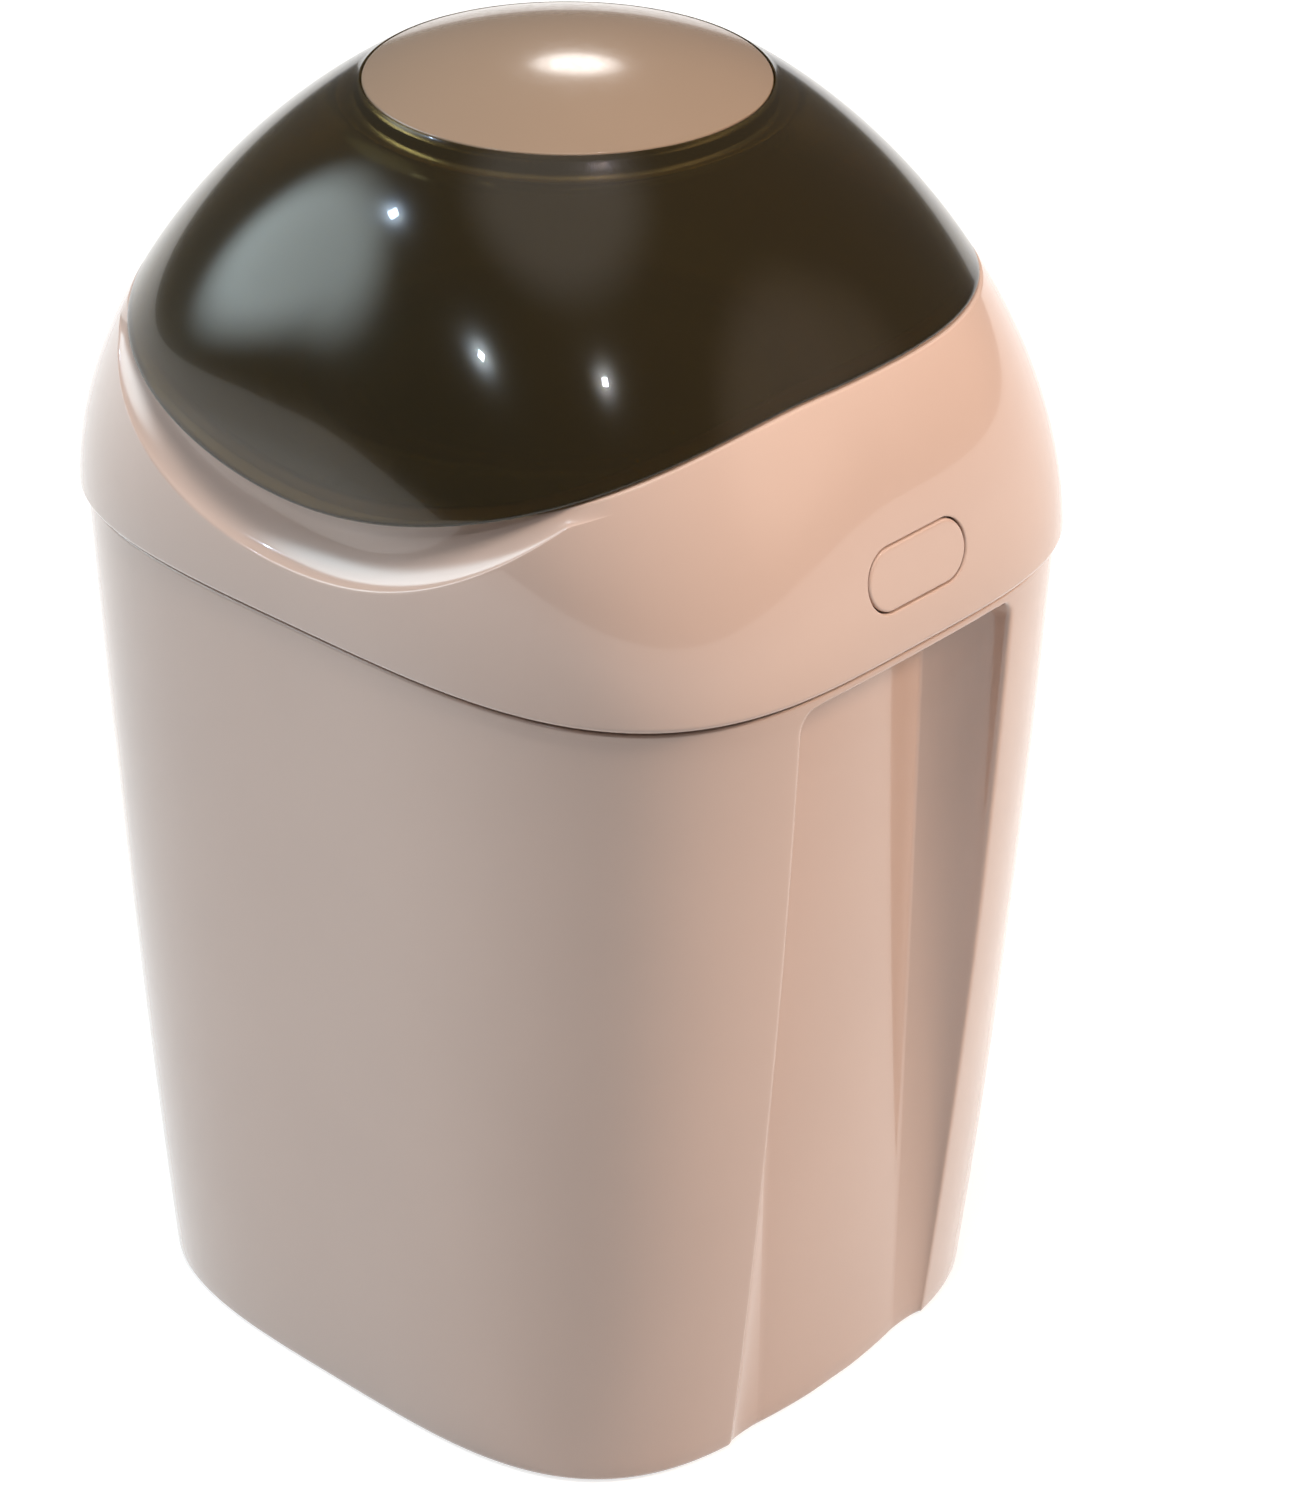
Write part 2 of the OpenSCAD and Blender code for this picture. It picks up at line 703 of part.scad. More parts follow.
module cutter_rails() {
    top = housing_low;
    color(inner_colour) for (s = [-1, 1]) {
        y_web = s > 0 ? rail_y : -rail_y - rail_t;
        y_lip = s > 0 ? rail_y - rail_lip : -rail_y - rail_t;
        translate([-rail_end, y_web, rail_low]) cube([2 * rail_end, rail_t, top - rail_low]);
        translate([-rail_end, y_lip, rail_low])
            cube([2 * rail_end, rail_lip + rail_t, rail_lip_t]);
        for (x = [-rail_end, rail_end - rail_t])
            translate([x, y_lip, rail_low]) cube([rail_t, rail_lip + rail_t, top - rail_low]);
    }
}

module lid_hinge_pin() {
    color(steel_colour) rod_x(lid_pin_r, -lid_pin_half, lid_pin_half, lid_axis_y, lid_axis_z);
}

// coil between a button and its guide, round the stem
spring_length = cap_back - guide_face - 2 * seat_clear - spring_wire;
spring_steps = 12 * spring_turns;
spring_line = [for (i = [0:spring_steps])
    let (q = 360 * i * spring_turns / spring_steps)
    [spring_length * i / spring_steps, spring_r * cos(q), spring_r * sin(q)]];
spring_space = min([for (i = [0:spring_steps]) for (j = [i + 8:1:spring_steps])
    norm(spring_line[i] - spring_line[j])]) - spring_wire;
echo(button_spring_least_gap = spring_space);

module button_spring() {
    rings = [for (i = [0:spring_steps])
        let (p = spring_line[i], out = [0, p[1], p[2]] / spring_r)
        [for (k = [0:spring_sides - 1])
            let (q = 360 * k / spring_sides)
            p + spring_wire / 2 * (cos(q) * out - sin(q) * [1, 0, 0])]];
    color(steel_colour) translate([guide_face + seat_clear + spring_wire / 2, 0, button_z])
        skin(rings, spring_line[0], spring_line[spring_steps]);
}
module button_spring_right() { button_spring(); }
module button_spring_left() { mirror([1, 0, 0]) button_spring(); }

// ---- lid ----

seat_r = disc_d / 2 + disc_gap / 2;
seat_z = disc_z - disc_seat;

module lid_body() {
    function low(a) = edge_z(a) + lid_gap / 2;
    ceiling = seat_z - lid_wall;
    inside = [for (u = [1, 0.9, 0.78, 0.64, 0.48, 0.32, 0.16, 0]) [for (a = angles)
        let (z = low(a) + (ceiling - low(a)) * u)
        polar(a, crown_r(a, z) - reach_in(a, z, lid_wall), z)]];
    outside = [for (u = [0, 0.14, 0.28, 0.42, 0.56, 0.69, 0.81, 0.91, 1]) [for (a = angles)
        let (z = low(a) + (disc_z - low(a)) * u)
        polar(a, u < 1 ? crown_r(a, z) : seat_r + 0.5, z)]];
    seat = [for (z = [disc_z - 0.2, seat_z]) [for (a = angles) polar(a, seat_r, z)]];
    skin(concat(inside, outside, seat), [0, 0, ceiling], [0, 0, seat_z]);
}

module lid_hinge_lug() {
    half = lid_barrel / 2;
    rod_x(lid_barrel_r, -half, half, lid_axis_y, lid_axis_z);
    across(-half, half) polygon([
        [lid_axis_y, lid_axis_z],
        [lid_axis_y, lid_axis_z + lid_barrel_r],
        [crown_b(lid_axis_z + 10) - lid_wall / 2, lid_axis_z + 10],
        [crown_b(lid_axis_z + 2) - lid_wall / 2, lid_axis_z + 2]]);
}

module lid_visor() {
    color(smoke_colour, 0.85) difference() {
        union() {
            lid_body();
            lid_hinge_lug();
        }
        pin_bore(lid_pin_r, lid_pin_half, lid_axis_y, lid_axis_z);
    }
}

module lid_disc() {
    r = disc_d / 2 - disc_gap / 2;
    ball = (r * r + disc_rise * disc_rise) / (2 * disc_rise);
    color(disc_colour) intersection() {
        translate([0, 0, seat_z]) cylinder(r = r, h = disc_seat + disc_rise + 1, $fn = 180);
        translate([0, 0, disc_z + disc_rise - ball]) sphere(r = ball, $fn = 180);
    }
}

// ---- twist ring and cassette ----

module twist_ring() {
    color(inner_colour) difference() {
        union() {
            tube(cup_out, cup_in, cup_low, flange_low + flange_t);
            tube(cup_out, cup_hole, cup_low, cassette_low);
            tube(journal_r, cup_in, deck_low, flange_low + flange_t);
            tube(ring_out, cup_in, flange_low, flange_low + flange_t);
            tube(ring_out - grip_set, ring_out - grip_set - grip_t, flange_low, grip_top);
        }
        for (i = [0:grip_count - 1])
            rotate([0, 0, (i + 0.5) * 360 / grip_count])
                translate([ring_out + grip_cut_out, 0, flange_low + flange_t])
                    cylinder(r = grip_cut_r, h = grip_h + 1, $fn = 48);
    }
}

module cassette_case() {
    color(inner_colour) {
        tube(cassette_r, cassette_r - cassette_wall, cassette_low, cassette_top);
        tube(cassette_bore / 2 + cassette_wall, cassette_bore / 2, cassette_low,
            cassette_top - core_drop);
        tube(cassette_r, cassette_bore / 2, cassette_low, cassette_low + cassette_wall);
    }
}

module film_pack() {
    out = cassette_r - cassette_wall - 0.5;
    low = cassette_low + cassette_wall;
    pitch = (cassette_h - film_headroom) / film_folds;
    color(film_colour) difference() {
        tube(out, out - film_t, low, low + film_folds * pitch);
        for (i = [1:film_folds - 1])
            tube(out + 1, out - fold_groove, low + i * pitch - fold_groove / 2,
                low + i * pitch + fold_groove / 2);
    }
}

module cassette_cover() {
    out = cassette_r - cassette_wall - seat_clear;
    color(disc_colour) {
        tube(out, cassette_bore / 2 + cover_gap, cassette_top - cover_t, cassette_top);
        tube(out, out - cover_lip_t, cassette_top - cover_lip_h, cassette_top);
    }
}

// ---- catch buttons ----

module button_piece() {
    color(shell_colour) {
        intersection() {
            stadium(button_w, button_h, cap_back - 3, button_surface + 4, button_z);
            translate([button_surface - button_sag, 0, button_z])
                rotate([0, -button_lean, 0]) translate([-button_t, -button_w, -button_h])
                    cube([button_t, 2 * button_w, 2 * button_h]);
        }
        rod_x(stem_d / 2, arm_out, cap_back + 0.5, 0, button_z);
    }
}
module button_right() { button_piece(); }
module button_left() { mirror([1, 0, 0]) button_piece(); }

// arm that goes down from a button's stem into the tub, with a nose under the catch rib
module latch_piece() {
    color(inner_colour) {
        translate([arm_out - arm_t, -arm_half, nose_z])
            cube([arm_t, 2 * arm_half, button_z + arm_over - nose_z]);
        translate([arm_out - eps, -arm_half, nose_z])
            cube([nose_reach + eps, 2 * arm_half, nose_t]);
    }
}
module latch_right() { latch_piece(); }
module latch_left() { mirror([1, 0, 0]) latch_piece(); }

// ---- cutter ----

module cutter_bar() {
    color(film_colour) {
        translate([cutter_rest_x - cutter_w / 2, -bar_half, bar_low])
            cube([cutter_w, 2 * bar_half, cutter_t]);
        translate([cutter_rest_x - tab_t / 2, tab_y, bar_low - tab_h])
            cube([tab_t, tab_w, tab_h + eps]);
    }
}

module cutter_blade() {
    edge = cutter_rest_x + cutter_w / 2;
    color(steel_colour) translate([0, 0, bar_low - blade_t]) linear_extrude(blade_t)
        polygon([[edge - 9, -10], [edge + 7, -10], [edge + 1.5, 0], [edge + 7, 10], [edge - 9, 10]]);
}

tub_shell();
head_hinge_pin();
catch_right();
catch_left();
head_shell();
deck();
deck_screws();
throat_housing();
housing_screws();
film_fingers();
cutter_rails();
lid_hinge_pin();
button_spring_right();
button_spring_left();
lid_visor();
lid_disc();
twist_ring();
cassette_case();
film_pack();
cassette_cover();
button_right();
latch_right();
button_left();
latch_left();
cutter_bar();
cutter_blade();
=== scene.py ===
# %% [markdown]
# # A nappy bin, dressed over its CAD frame
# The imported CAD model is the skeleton: it fixes every size, every pivot and what
# moves with what. This lesson gives that skeleton its looks. The big moulded shells
# are rebuilt as fine numpy surfaces from the same formulas as the CAD source, and
# the inner parts keep their CAD meshes and only get better plastic and steel.

# %% Load the frame
import math

import bpy
import numpy as np
from mathutils import Matrix, Vector
from mathutils.geometry import convex_hull_2d


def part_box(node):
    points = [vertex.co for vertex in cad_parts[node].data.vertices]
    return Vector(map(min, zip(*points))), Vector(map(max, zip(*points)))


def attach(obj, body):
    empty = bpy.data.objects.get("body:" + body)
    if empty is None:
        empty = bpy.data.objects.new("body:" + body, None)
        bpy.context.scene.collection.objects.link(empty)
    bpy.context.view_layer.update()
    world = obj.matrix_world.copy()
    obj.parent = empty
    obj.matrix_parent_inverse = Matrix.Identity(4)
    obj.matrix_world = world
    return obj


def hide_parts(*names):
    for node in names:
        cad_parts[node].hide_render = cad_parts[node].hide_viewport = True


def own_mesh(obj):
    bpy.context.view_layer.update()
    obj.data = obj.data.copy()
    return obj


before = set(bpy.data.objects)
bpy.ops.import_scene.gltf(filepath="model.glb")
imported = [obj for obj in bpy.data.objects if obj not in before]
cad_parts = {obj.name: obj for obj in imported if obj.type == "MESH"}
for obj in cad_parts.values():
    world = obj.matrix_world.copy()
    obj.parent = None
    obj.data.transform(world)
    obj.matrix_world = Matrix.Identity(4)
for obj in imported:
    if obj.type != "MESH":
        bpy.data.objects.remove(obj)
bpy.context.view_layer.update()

# %% [markdown]
# ## Sizes
# Every length below is in millimetres, as on a drawing, and the mesh helper turns
# it into metres at the last moment. The values are the ones the CAD source uses, so
# that a rebuilt surface lies exactly where the solid was.

# %% Name the sizes
MM = 0.001
TOP_W, TOP_D, BASE_W, BASE_D = 260.0, 217.4, 220.0, 204.0
SEAM, BULGE, SQUARE, WALL, FLOOR_T, FOOT_R = 262.0, 2.8, 3.5, 2.6, 3.0, 2.5
RECESS_Y, LEDGE_T, HOLLOW, PANEL_BOW, CREASE = 44.5, 3.3, 13.0, 2.5, 0.55
CORNER_W, CORNER_H = 6.5, 7.5
LEDGE = SEAM - LEDGE_T
HEAD_A, HEAD_B, CROWN_H, CROWN_POWER = 132.2, 110.5, 129.4, 1.8
DISC_D, DISC_RISE, DISC_SEAT, DISC_GAP = 113.5, 10.4, 3.0, 0.45
DISC_Z = SEAM + CROWN_H
CROWN_K = (1 - (DISC_D / 2 / HEAD_A) ** 2) ** (1 / CROWN_POWER)
EDGE_FRONT, EDGE_RISE, EDGE_SWEEP, EDGE_BACK = 39.4, 35.0, 1.12, 2.0
SEAM_GAP, HEAD_ROUND, LID_GAP, LID_WALL = 1.2, 2.0, 0.8, 2.6
SCOOP_H, SCOOP_DEPTH, SCOOP_HALF = 19.0, 9.0, 92.0
UPSTAND_H, UPSTAND_T, UPSTAND_IN = 3.0, 2.0, 3.4
DECK_T, DECK_DROP = 2.4, 0.8
BUTTON_W, BUTTON_H, BUTTON_GAP, BUTTON_T, STEM_R = 40.2, 17.6, 0.5, 3.4, 4.0
print("seam", SEAM, "disc rim", DISC_Z, "ledge", LEDGE)

# %% [markdown]
# ## Camera
# The photograph looks down on the front right corner. The angle, distance and lens
# were worked out from where the seam, the disc and the foot lie in the picture, and
# the slight roll is the photographer's.

# %% Place the camera
def photo_camera(azimuth=42.02, elevation=29.82, distance=1348.7, aim=(23.23, 179.85),
                 roll=0.58, focal_px=4533.5, picture_h=1490):
    """Camera on a sphere round an aim point: back, right and up are the three axes of
    that direction, turned by the roll; the lens is the focal length over the picture."""
    a, e, r = (math.radians(v) for v in (azimuth, elevation, roll))
    back = Vector((math.sin(a) * math.cos(e), -math.cos(a) * math.cos(e), math.sin(e)))
    right = Vector((math.cos(a), math.sin(a), 0))
    up = back.cross(right)
    place = (right * aim[0] + Vector((0, 0, aim[1])) + back * distance) * MM
    across = right * math.cos(r) + up * math.sin(r)
    above = up * math.cos(r) - right * math.sin(r)
    data = bpy.data.cameras.new("photo_camera")
    data.sensor_width, data.lens = 36, 36 * focal_px / picture_h
    camera = bpy.data.objects.new("photo_camera", data)
    axes = Matrix((across, above, back)).transposed().to_4x4()
    camera.matrix_world = Matrix.Translation(place) @ axes
    bpy.context.scene.collection.objects.link(camera)
    bpy.context.scene.camera = camera
    return camera


camera = photo_camera()
print("lens", round(camera.data.lens, 2), "mm")

# %% [markdown]
# ## Meshes from grids
# A moulded shell is a sheet bent round on itself. If its points are worked out as a
# grid of rows and columns, the faces follow from the grid alone. Rows go up the
# outside, over the rim and down the inside, so one grid makes a closed wall.

# %% Turn grids into pieces
def grid_quads(rows, cols, start=0, ring_rows=False):
    """Quad corners for a grid whose columns run round in a ring; with ring_rows the
    last row also joins the first. Each face is a, its right neighbour, and the two above."""
    r = np.arange(rows if ring_rows else rows - 1)[:, None]
    c = np.arange(cols)[None, :]
    here, there = r * cols, (r + 1) % rows * cols
    right = (c + 1) % cols
    return start + np.stack([here + c, here + right, there + right, there + c], -1)


def cap(ring, centre, upward=True):
    """Triangles from a centre point out to a ring of point numbers."""
    ahead = np.roll(ring, -1)
    a, b = (ring, ahead) if upward else (ahead, ring)
    return np.stack([np.full_like(ring, centre), a, b], -1)


def solid(rows_of_points, closed=False):
    """(points, faces) of a skin over rows of points, capped at both ends unless closed."""
    rows, cols = rows_of_points.shape[:2]
    points = rows_of_points.reshape(-1, 3)
    faces = grid_quads(rows, cols, ring_rows=closed).reshape(-1, 4).tolist()
    if not closed:
        ends = np.stack([rows_of_points[0].mean(0), rows_of_points[-1].mean(0)])
        ring = np.arange(cols)
        n = len(points)
        points = np.concatenate([points, ends])
        faces += cap(ring, n, upward=False).tolist()
        faces += cap(ring + (rows - 1) * cols, n + 1).tolist()
    return points, faces


def joined(*solids):
    """One (points, faces) from several."""
    points, faces, n = [], [], 0
    for pts, fcs in solids:
        points.append(pts)
        faces += [[i + n for i in f] for f in fcs]
        n += len(pts)
    return np.concatenate(points), faces


def add_piece(name, shape, body, stands_for, crease=50):
    """Makes the object: points in metres, smooth shading with real creases kept."""
    points, faces = shape
    mesh = bpy.data.meshes.new(name)
    mesh.from_pydata((points * MM).tolist(), [], faces)
    mesh.validate()
    mesh.shade_smooth()
    mesh.set_sharp_from_angle(angle=math.radians(crease))
    piece = bpy.data.objects.new(name, mesh)
    bpy.context.scene.collection.objects.link(piece)
    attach(piece, body)
    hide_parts(stands_for)
    print(f"{name}: {len(points)} points, {sum(len(f) - 2 for f in faces)} triangles")
    return piece


def rows_xyz(x, y, z):
    """Rows of points from coordinates that broadcast to one (rows, columns) shape."""
    return np.stack(np.broadcast_arrays(x, y, z), -1).astype(float)


def polar(radius, angle, z):
    """Points at a radius and an angle round Z."""
    return rows_xyz(radius * np.cos(angle), radius * np.sin(angle), z)


def fillet(radius, steps=4):
    """(inset, rise) along a quarter round that starts flat and ends upright."""
    q = np.linspace(0, np.pi / 2, steps + 1)
    return radius * (1 - np.sin(q)), radius * (1 - np.cos(q))


def soften(points, weight, axis, times, ring):
    """Rounds a corner by moving each point part of the way to the middle of its two
    neighbours along one axis, over and over, as far as its weight says."""
    for _ in range(times):
        if ring:
            middle = (np.roll(points, 1, axis) + np.roll(points, -1, axis)) / 2
        else:
            middle = points.copy()
            middle[1:-1] = (points[2:] + points[:-2]) / 2
        points = points + (middle - points) * weight / 2
    return points


# %% [markdown]
# ## Small blocks and rods
# Hinge barrels, lugs and stems are simple: an outline carried along an axis, or a
# circle carried along X. Their ends are drawn in a little, as a mould leaves them.

# %% Blocks and rods
def along_x(outline, x0, x1, soft=0.5):
    """Carries a convex (y, z) outline along X; the two end rings shrink towards the
    outline's middle, which rounds the end edges."""
    middle = outline.mean(0)
    reach = np.abs(outline - middle).max()
    steps = [(x0, 1 - soft / reach), (x0 + 0.3 * soft, 1 - 0.3 * soft / reach), (x0 + soft, 1),
             (x1 - soft, 1), (x1 - 0.3 * soft, 1 - 0.3 * soft / reach), (x1, 1 - soft / reach)]
    x = np.array([s[0] for s in steps])[:, None]
    size = np.array([s[1] for s in steps])[:, None]
    y = middle[0] + (outline[:, 0] - middle[0]) * size
    z = middle[1] + (outline[:, 1] - middle[1]) * size
    return solid(rows_xyz(x, y, z))


def hull_outline(points):
    """Points of the tight outline round a set, in the sense that faces +X."""
    order = convex_hull_2d([tuple(p) for p in points])
    ring = np.array(points)[order]
    ahead = np.roll(ring, -1, 0)
    area = (ring[:, 0] * ahead[:, 1] - ring[:, 1] * ahead[:, 0]).sum()
    return ring if area > 0 else ring[::-1]


def circle(radius, y, z, count=48):
    """Points of a circle in the Y-Z plane."""
    q = np.arange(count) * 2 * np.pi / count
    return np.stack([y + radius * np.cos(q), z + radius * np.sin(q)], -1)


def lug(radius, y, z, web, x0, x1):
    """A hinge lug: the outline round a barrel and the web that carries it."""
    outline = hull_outline(np.concatenate([circle(radius, y, z), np.array(web, float)]))
    return along_x(outline, x0, x1)


def mirror_x(shape):
    """The same solid on the other side, with its faces turned back outwards."""
    points, faces = shape
    return points * [-1, 1, 1], [f[::-1] for f in faces]


# %% [markdown]
# ## The tub
# The plan of the tub is a rounded rectangle that widens on the way up. Each side is
# hollowed by a hand recess: a slightly bowed panel that keeps the foot's outline,
# joined to the side by a hollow that starts at a crease, under a thin ledge. A
# displaced or sculpted mesh would blur the recess's edges, so the outline itself
# carries the recess, and the columns are packed closely round each edge, where a
# little softening rounds it.

# %% Outline of the tub
def superellipse(angle, a, b, n):
    """Radius of a rounded rectangle: one over the n-th root of |cos/a|^n + |sin/b|^n."""
    c, s = np.abs(np.cos(angle)) / a, np.abs(np.sin(angle)) / b
    return (c ** n + s ** n) ** (-1 / n)


def tub_a(z):
    """Half width of the tub: a straight taper plus a slight swelling halfway up."""
    t = z / SEAM
    return BASE_W / 2 + (TOP_W - BASE_W) / 2 * t + 4 * BULGE * t * (1 - t)


def tub_b(z):
    """Half depth of the tub: a straight taper."""
    return BASE_D / 2 + (TOP_D - BASE_D) / 2 * z / SEAM


PANEL_STEPS, HOLLOW_STEPS, ARC_STEPS = 14, 26, 230
panel_share = np.r_[np.linspace(0, 1, PANEL_STEPS + 1)[:-1], np.ones(HOLLOW_STEPS)]
wave = (1 - np.cos(np.pi * np.linspace(0, 1, HOLLOW_STEPS))) / 2
hollow_share = np.r_[np.zeros(PANEL_STEPS), (wave + np.linspace(0, 1, HOLLOW_STEPS)) / 2]
side_sign = np.r_[-np.ones(len(wave) + PANEL_STEPS - 1), np.ones(len(wave) + PANEL_STEPS)]
panel_share = np.r_[panel_share[:0:-1], panel_share]
hollow_share = np.r_[hollow_share[:0:-1], hollow_share]
even = np.arange(1, ARC_STEPS + 1) / (ARC_STEPS + 1)
arc_share = even - 0.62 * np.sin(2 * np.pi * even) / (2 * np.pi)


def tub_ring(z, cut=1.0, w=0.0):
    """Plan outline at height z. Recess columns run along the panel and, from a crease, out
    through a hollow that mixes a slope with a quarter round. The other columns run round
    the rounded rectangle and bunch up near the recess. cut is 1 in the recess and 0 where
    the side is whole; w is the depth under the surface, for the inner face of the wall."""
    z = np.asarray(z, float)[:, None]
    cut = np.broadcast_to(np.asarray(cut, float).reshape(-1, 1), z.shape)
    w = np.asarray(w, float).reshape(-1, 1)
    a, b = tub_a(z) - w, tub_b(z) - w
    u = np.clip((np.minimum(z, LEDGE) - (LEDGE - CORNER_H)) / CORNER_H, 0, 1)
    half = RECESS_Y - CORNER_W + CORNER_W * np.sqrt(1 - u * u)
    flat = half - HOLLOW
    y = side_sign * (flat * panel_share + (HOLLOW + w) * np.sin(np.pi / 2 * hollow_share))
    side = a * (1 - (np.abs(y) / b) ** SQUARE) ** (1 / SQUARE)
    panel = BASE_W / 2 - w - PANEL_BOW * (y / (RECESS_Y - HOLLOW)) ** 2
    deep = np.minimum(panel, side - 0.3)
    out = (CREASE * np.sin(np.pi / 2 * hollow_share)
           + (1 - CREASE) * (1 - np.cos(np.pi / 2 * hollow_share)))
    x = side - (side - deep) * (1 - out) * cut
    edge_y = half + w
    edge = np.arctan2(edge_y, a * (1 - (edge_y / b) ** SQUARE) ** (1 / SQUARE))
    angle = edge + (np.pi - 2 * edge) * arc_share
    r = superellipse(angle, a, b, SQUARE)
    ax, ay = r * np.cos(angle), r * np.sin(angle)
    return np.stack([np.concatenate([x, ax, -x, -ax], 1),
                     np.concatenate([y, ay, -y, -ay], 1)], -1)


def inset(rings, d):
    """Moves each closed ring in by d along its own normals."""
    run = np.roll(rings, -1, 1) - np.roll(rings, 1, 1)
    out = np.stack([run[..., 1], -run[..., 0]], -1)
    return rings - np.asarray(d)[:, None, None] * out / np.linalg.norm(out, axis=-1, keepdims=True)


side_cols = len(side_sign)
tub_cols = 2 * (side_cols + ARC_STEPS)
in_recess = np.zeros(tub_cols)
in_recess[:side_cols] = in_recess[side_cols + ARC_STEPS:2 * side_cols + ARC_STEPS] = 1
print(tub_cols, "columns round the tub")

# %% [markdown]
# The ledge over a recess is a step: at one height the outline jumps from the panel
# out to the side. The rows there keep one height in the recess and share out a
# sliver of height elsewhere, so that no face on the plain wall has zero height.

# %% Skin of the tub
RIM_R, SLIVER = 0.9, 0.3


def tub_rows():
    """Rows of the tub's wall: foot, body, recess corners, ledge, rim, and back down."""
    corner = LEDGE - CORNER_H * (1 - np.sin(np.pi / 2 * np.linspace(0, 1, 19)))
    foot_in, foot_z = fillet(FOOT_R, 5)
    low = np.r_[foot_z, np.linspace(FOOT_R, LEDGE - CORNER_H, 50)[1:-1], corner]
    rows = [tub_ring(low, w=np.r_[foot_in, np.zeros(len(low) - len(foot_in))])]
    levels = [np.broadcast_to(low[:, None], (len(low), tub_cols))]
    reach = np.sin(np.pi / 2 * np.linspace(0, 1, 13))[1:]
    rows.append(tub_ring(np.full(12, LEDGE), 1 - reach))
    sliver = SLIVER * np.linspace(0, 1, 13)[1:, None]
    levels.append(LEDGE + sliver * (1 - in_recess))
    top = SEAM - SEAM_GAP / 2
    rim_in, rim_z = fillet(RIM_R)
    above = np.r_[LEDGE + np.array([0.35, 0.7, 1.1, 1.5]), top - RIM_R, top - rim_z[::-1][1:]]
    rows.append(inset(tub_ring(above, 0), np.r_[np.zeros(5), rim_in[::-1][1:]]))
    levels.append(np.broadcast_to(above[:, None], (len(above), tub_cols)))
    outside = np.concatenate(rows), np.concatenate(levels)
    down = np.r_[top, top, top - 0.3, top - 1, LEDGE, LEDGE - CORNER_H * (1 - np.cos(
        np.linspace(0, 1, 9)[1:] * np.pi / 2)), np.linspace(LEDGE - CORNER_H, 14, 16)[1:],
        8, 5.5, 4, FLOOR_T + 0.3, FLOOR_T, FLOOR_T]
    under = np.r_[WALL - RIM_R, WALL - 0.3, np.full(len(down) - 8, WALL),
                  WALL + 0.2, WALL + 0.8, WALL + 1.6, WALL + 3, WALL + 5, WALL + 20]
    inner = tub_ring(np.minimum(down, LEDGE), 1, under)
    return (np.concatenate([outside[0], inner]),
            np.concatenate([outside[1], np.broadcast_to(down[:, None], (len(down), tub_cols))]),
            len(low), len(low) + 12)


plan, level, ledge_row, lip_row = tub_rows()
tub_points = np.concatenate([plan, level[..., None]], -1)

edge_near = np.zeros(tub_cols)
for edge in (0, side_cols - 1, side_cols + ARC_STEPS, 2 * side_cols + ARC_STEPS - 1):
    away = np.abs((np.arange(tub_cols) - edge + tub_cols // 2) % tub_cols - tub_cols // 2)
    edge_near = np.maximum(edge_near, np.clip(1.8 - away / 7, 0, 1))
row_on = np.zeros(len(tub_points))
row_on[4:lip_row + 1] = 1
tub_points = soften(tub_points, (row_on[:, None] * edge_near)[..., None], 1, 12, True)
near_lip = np.clip(1.6 - np.abs(np.arange(len(tub_points)) - (lip_row - 0.5)) / 4, 0, 1)
tub_points = soften(tub_points, (near_lip[:, None] * in_recess)[..., None], 0, 6, False)
print("tub rows", len(tub_points), "ledge at row", ledge_row)

# %% The tub, with the middle barrel of its hinge
AXIS_DROP, AXIS_CLEAR = 4, 0.9
HEAD_LUG_R, HEAD_BARREL, SIDE_BARREL, BARREL_GAP = 5.5, 44.0, 18.0, 0.3
HEAD_AXIS = (tub_b(SEAM - AXIS_DROP) + HEAD_LUG_R + AXIS_CLEAR, SEAM - AXIS_DROP)
hy, hz = HEAD_AXIS
tub_barrel = lug(HEAD_LUG_R, hy, hz, [
    (tub_b(hz - 24) - WALL / 2, hz - 24), (tub_b(hz) - WALL / 2, hz),
    (hy + HEAD_LUG_R * 0.7, hz - HEAD_LUG_R * 0.7)], -HEAD_BARREL / 2, HEAD_BARREL / 2)
tub = add_piece("tub_moulding", joined(solid(tub_points), tub_barrel),
                "tub", "tub_shell")

# %% [markdown]
# ## The crown
# Head and lid are cut from one curved envelope that shrinks from the tub's rounded
# rectangle to the circle of the top disc. The cut between them is low at the front
# and sweeps up to the sides, and a finger scoop is pressed into the front of the
# head. Radii and heights are functions of the angle, so each row is one formula.

# %% Formulas of the crown
def crown_share(z):
    return np.clip((z - SEAM) / CROWN_H, 0, None)


def crown_a(z):
    """Half width: a power curve from the seam to the disc's rim."""
    return HEAD_A * np.sqrt(1 - (CROWN_K * crown_share(z)) ** CROWN_POWER)


def crown_b(z):
    """Half depth: the half width times a ratio that grows to 1 at the disc."""
    return crown_a(z) * (HEAD_B / HEAD_A + (1 - HEAD_B / HEAD_A) * crown_share(z))


def crown_n(z):
    return SQUARE - (SQUARE - 2) * crown_share(z)


def crown_r(angle, z):
    """Radius of the envelope at an angle and a height."""
    return superellipse(angle, crown_a(z), crown_b(z), crown_n(z))


def reach_in(angle, z, w):
    """How far a wall w thick reaches in along the radius where the face slants."""
    r = crown_r(angle, z)
    turn = (crown_r(angle + 0.0175, z) - crown_r(angle - 0.0175, z)) / 0.035
    return w * np.sqrt(1 + (turn / r) ** 2 + (crown_r(angle, z + 1) - r) ** 2)


def from_front(angle):
    """Degrees away from the front of the bin."""
    return np.degrees(np.arctan2(np.abs(np.cos(angle)), -np.sin(angle)))


def edge_z(angle):
    """Height of the cut between head and lid."""
    f = from_front(angle)
    climb = np.sin(np.radians(np.minimum(90, EDGE_SWEEP * f))) ** 2
    back = (1 - np.cos(np.radians(1.8 * np.maximum(0, f - 80)))) / 2
    return SEAM + EDGE_FRONT + EDGE_RISE * climb + EDGE_BACK * back


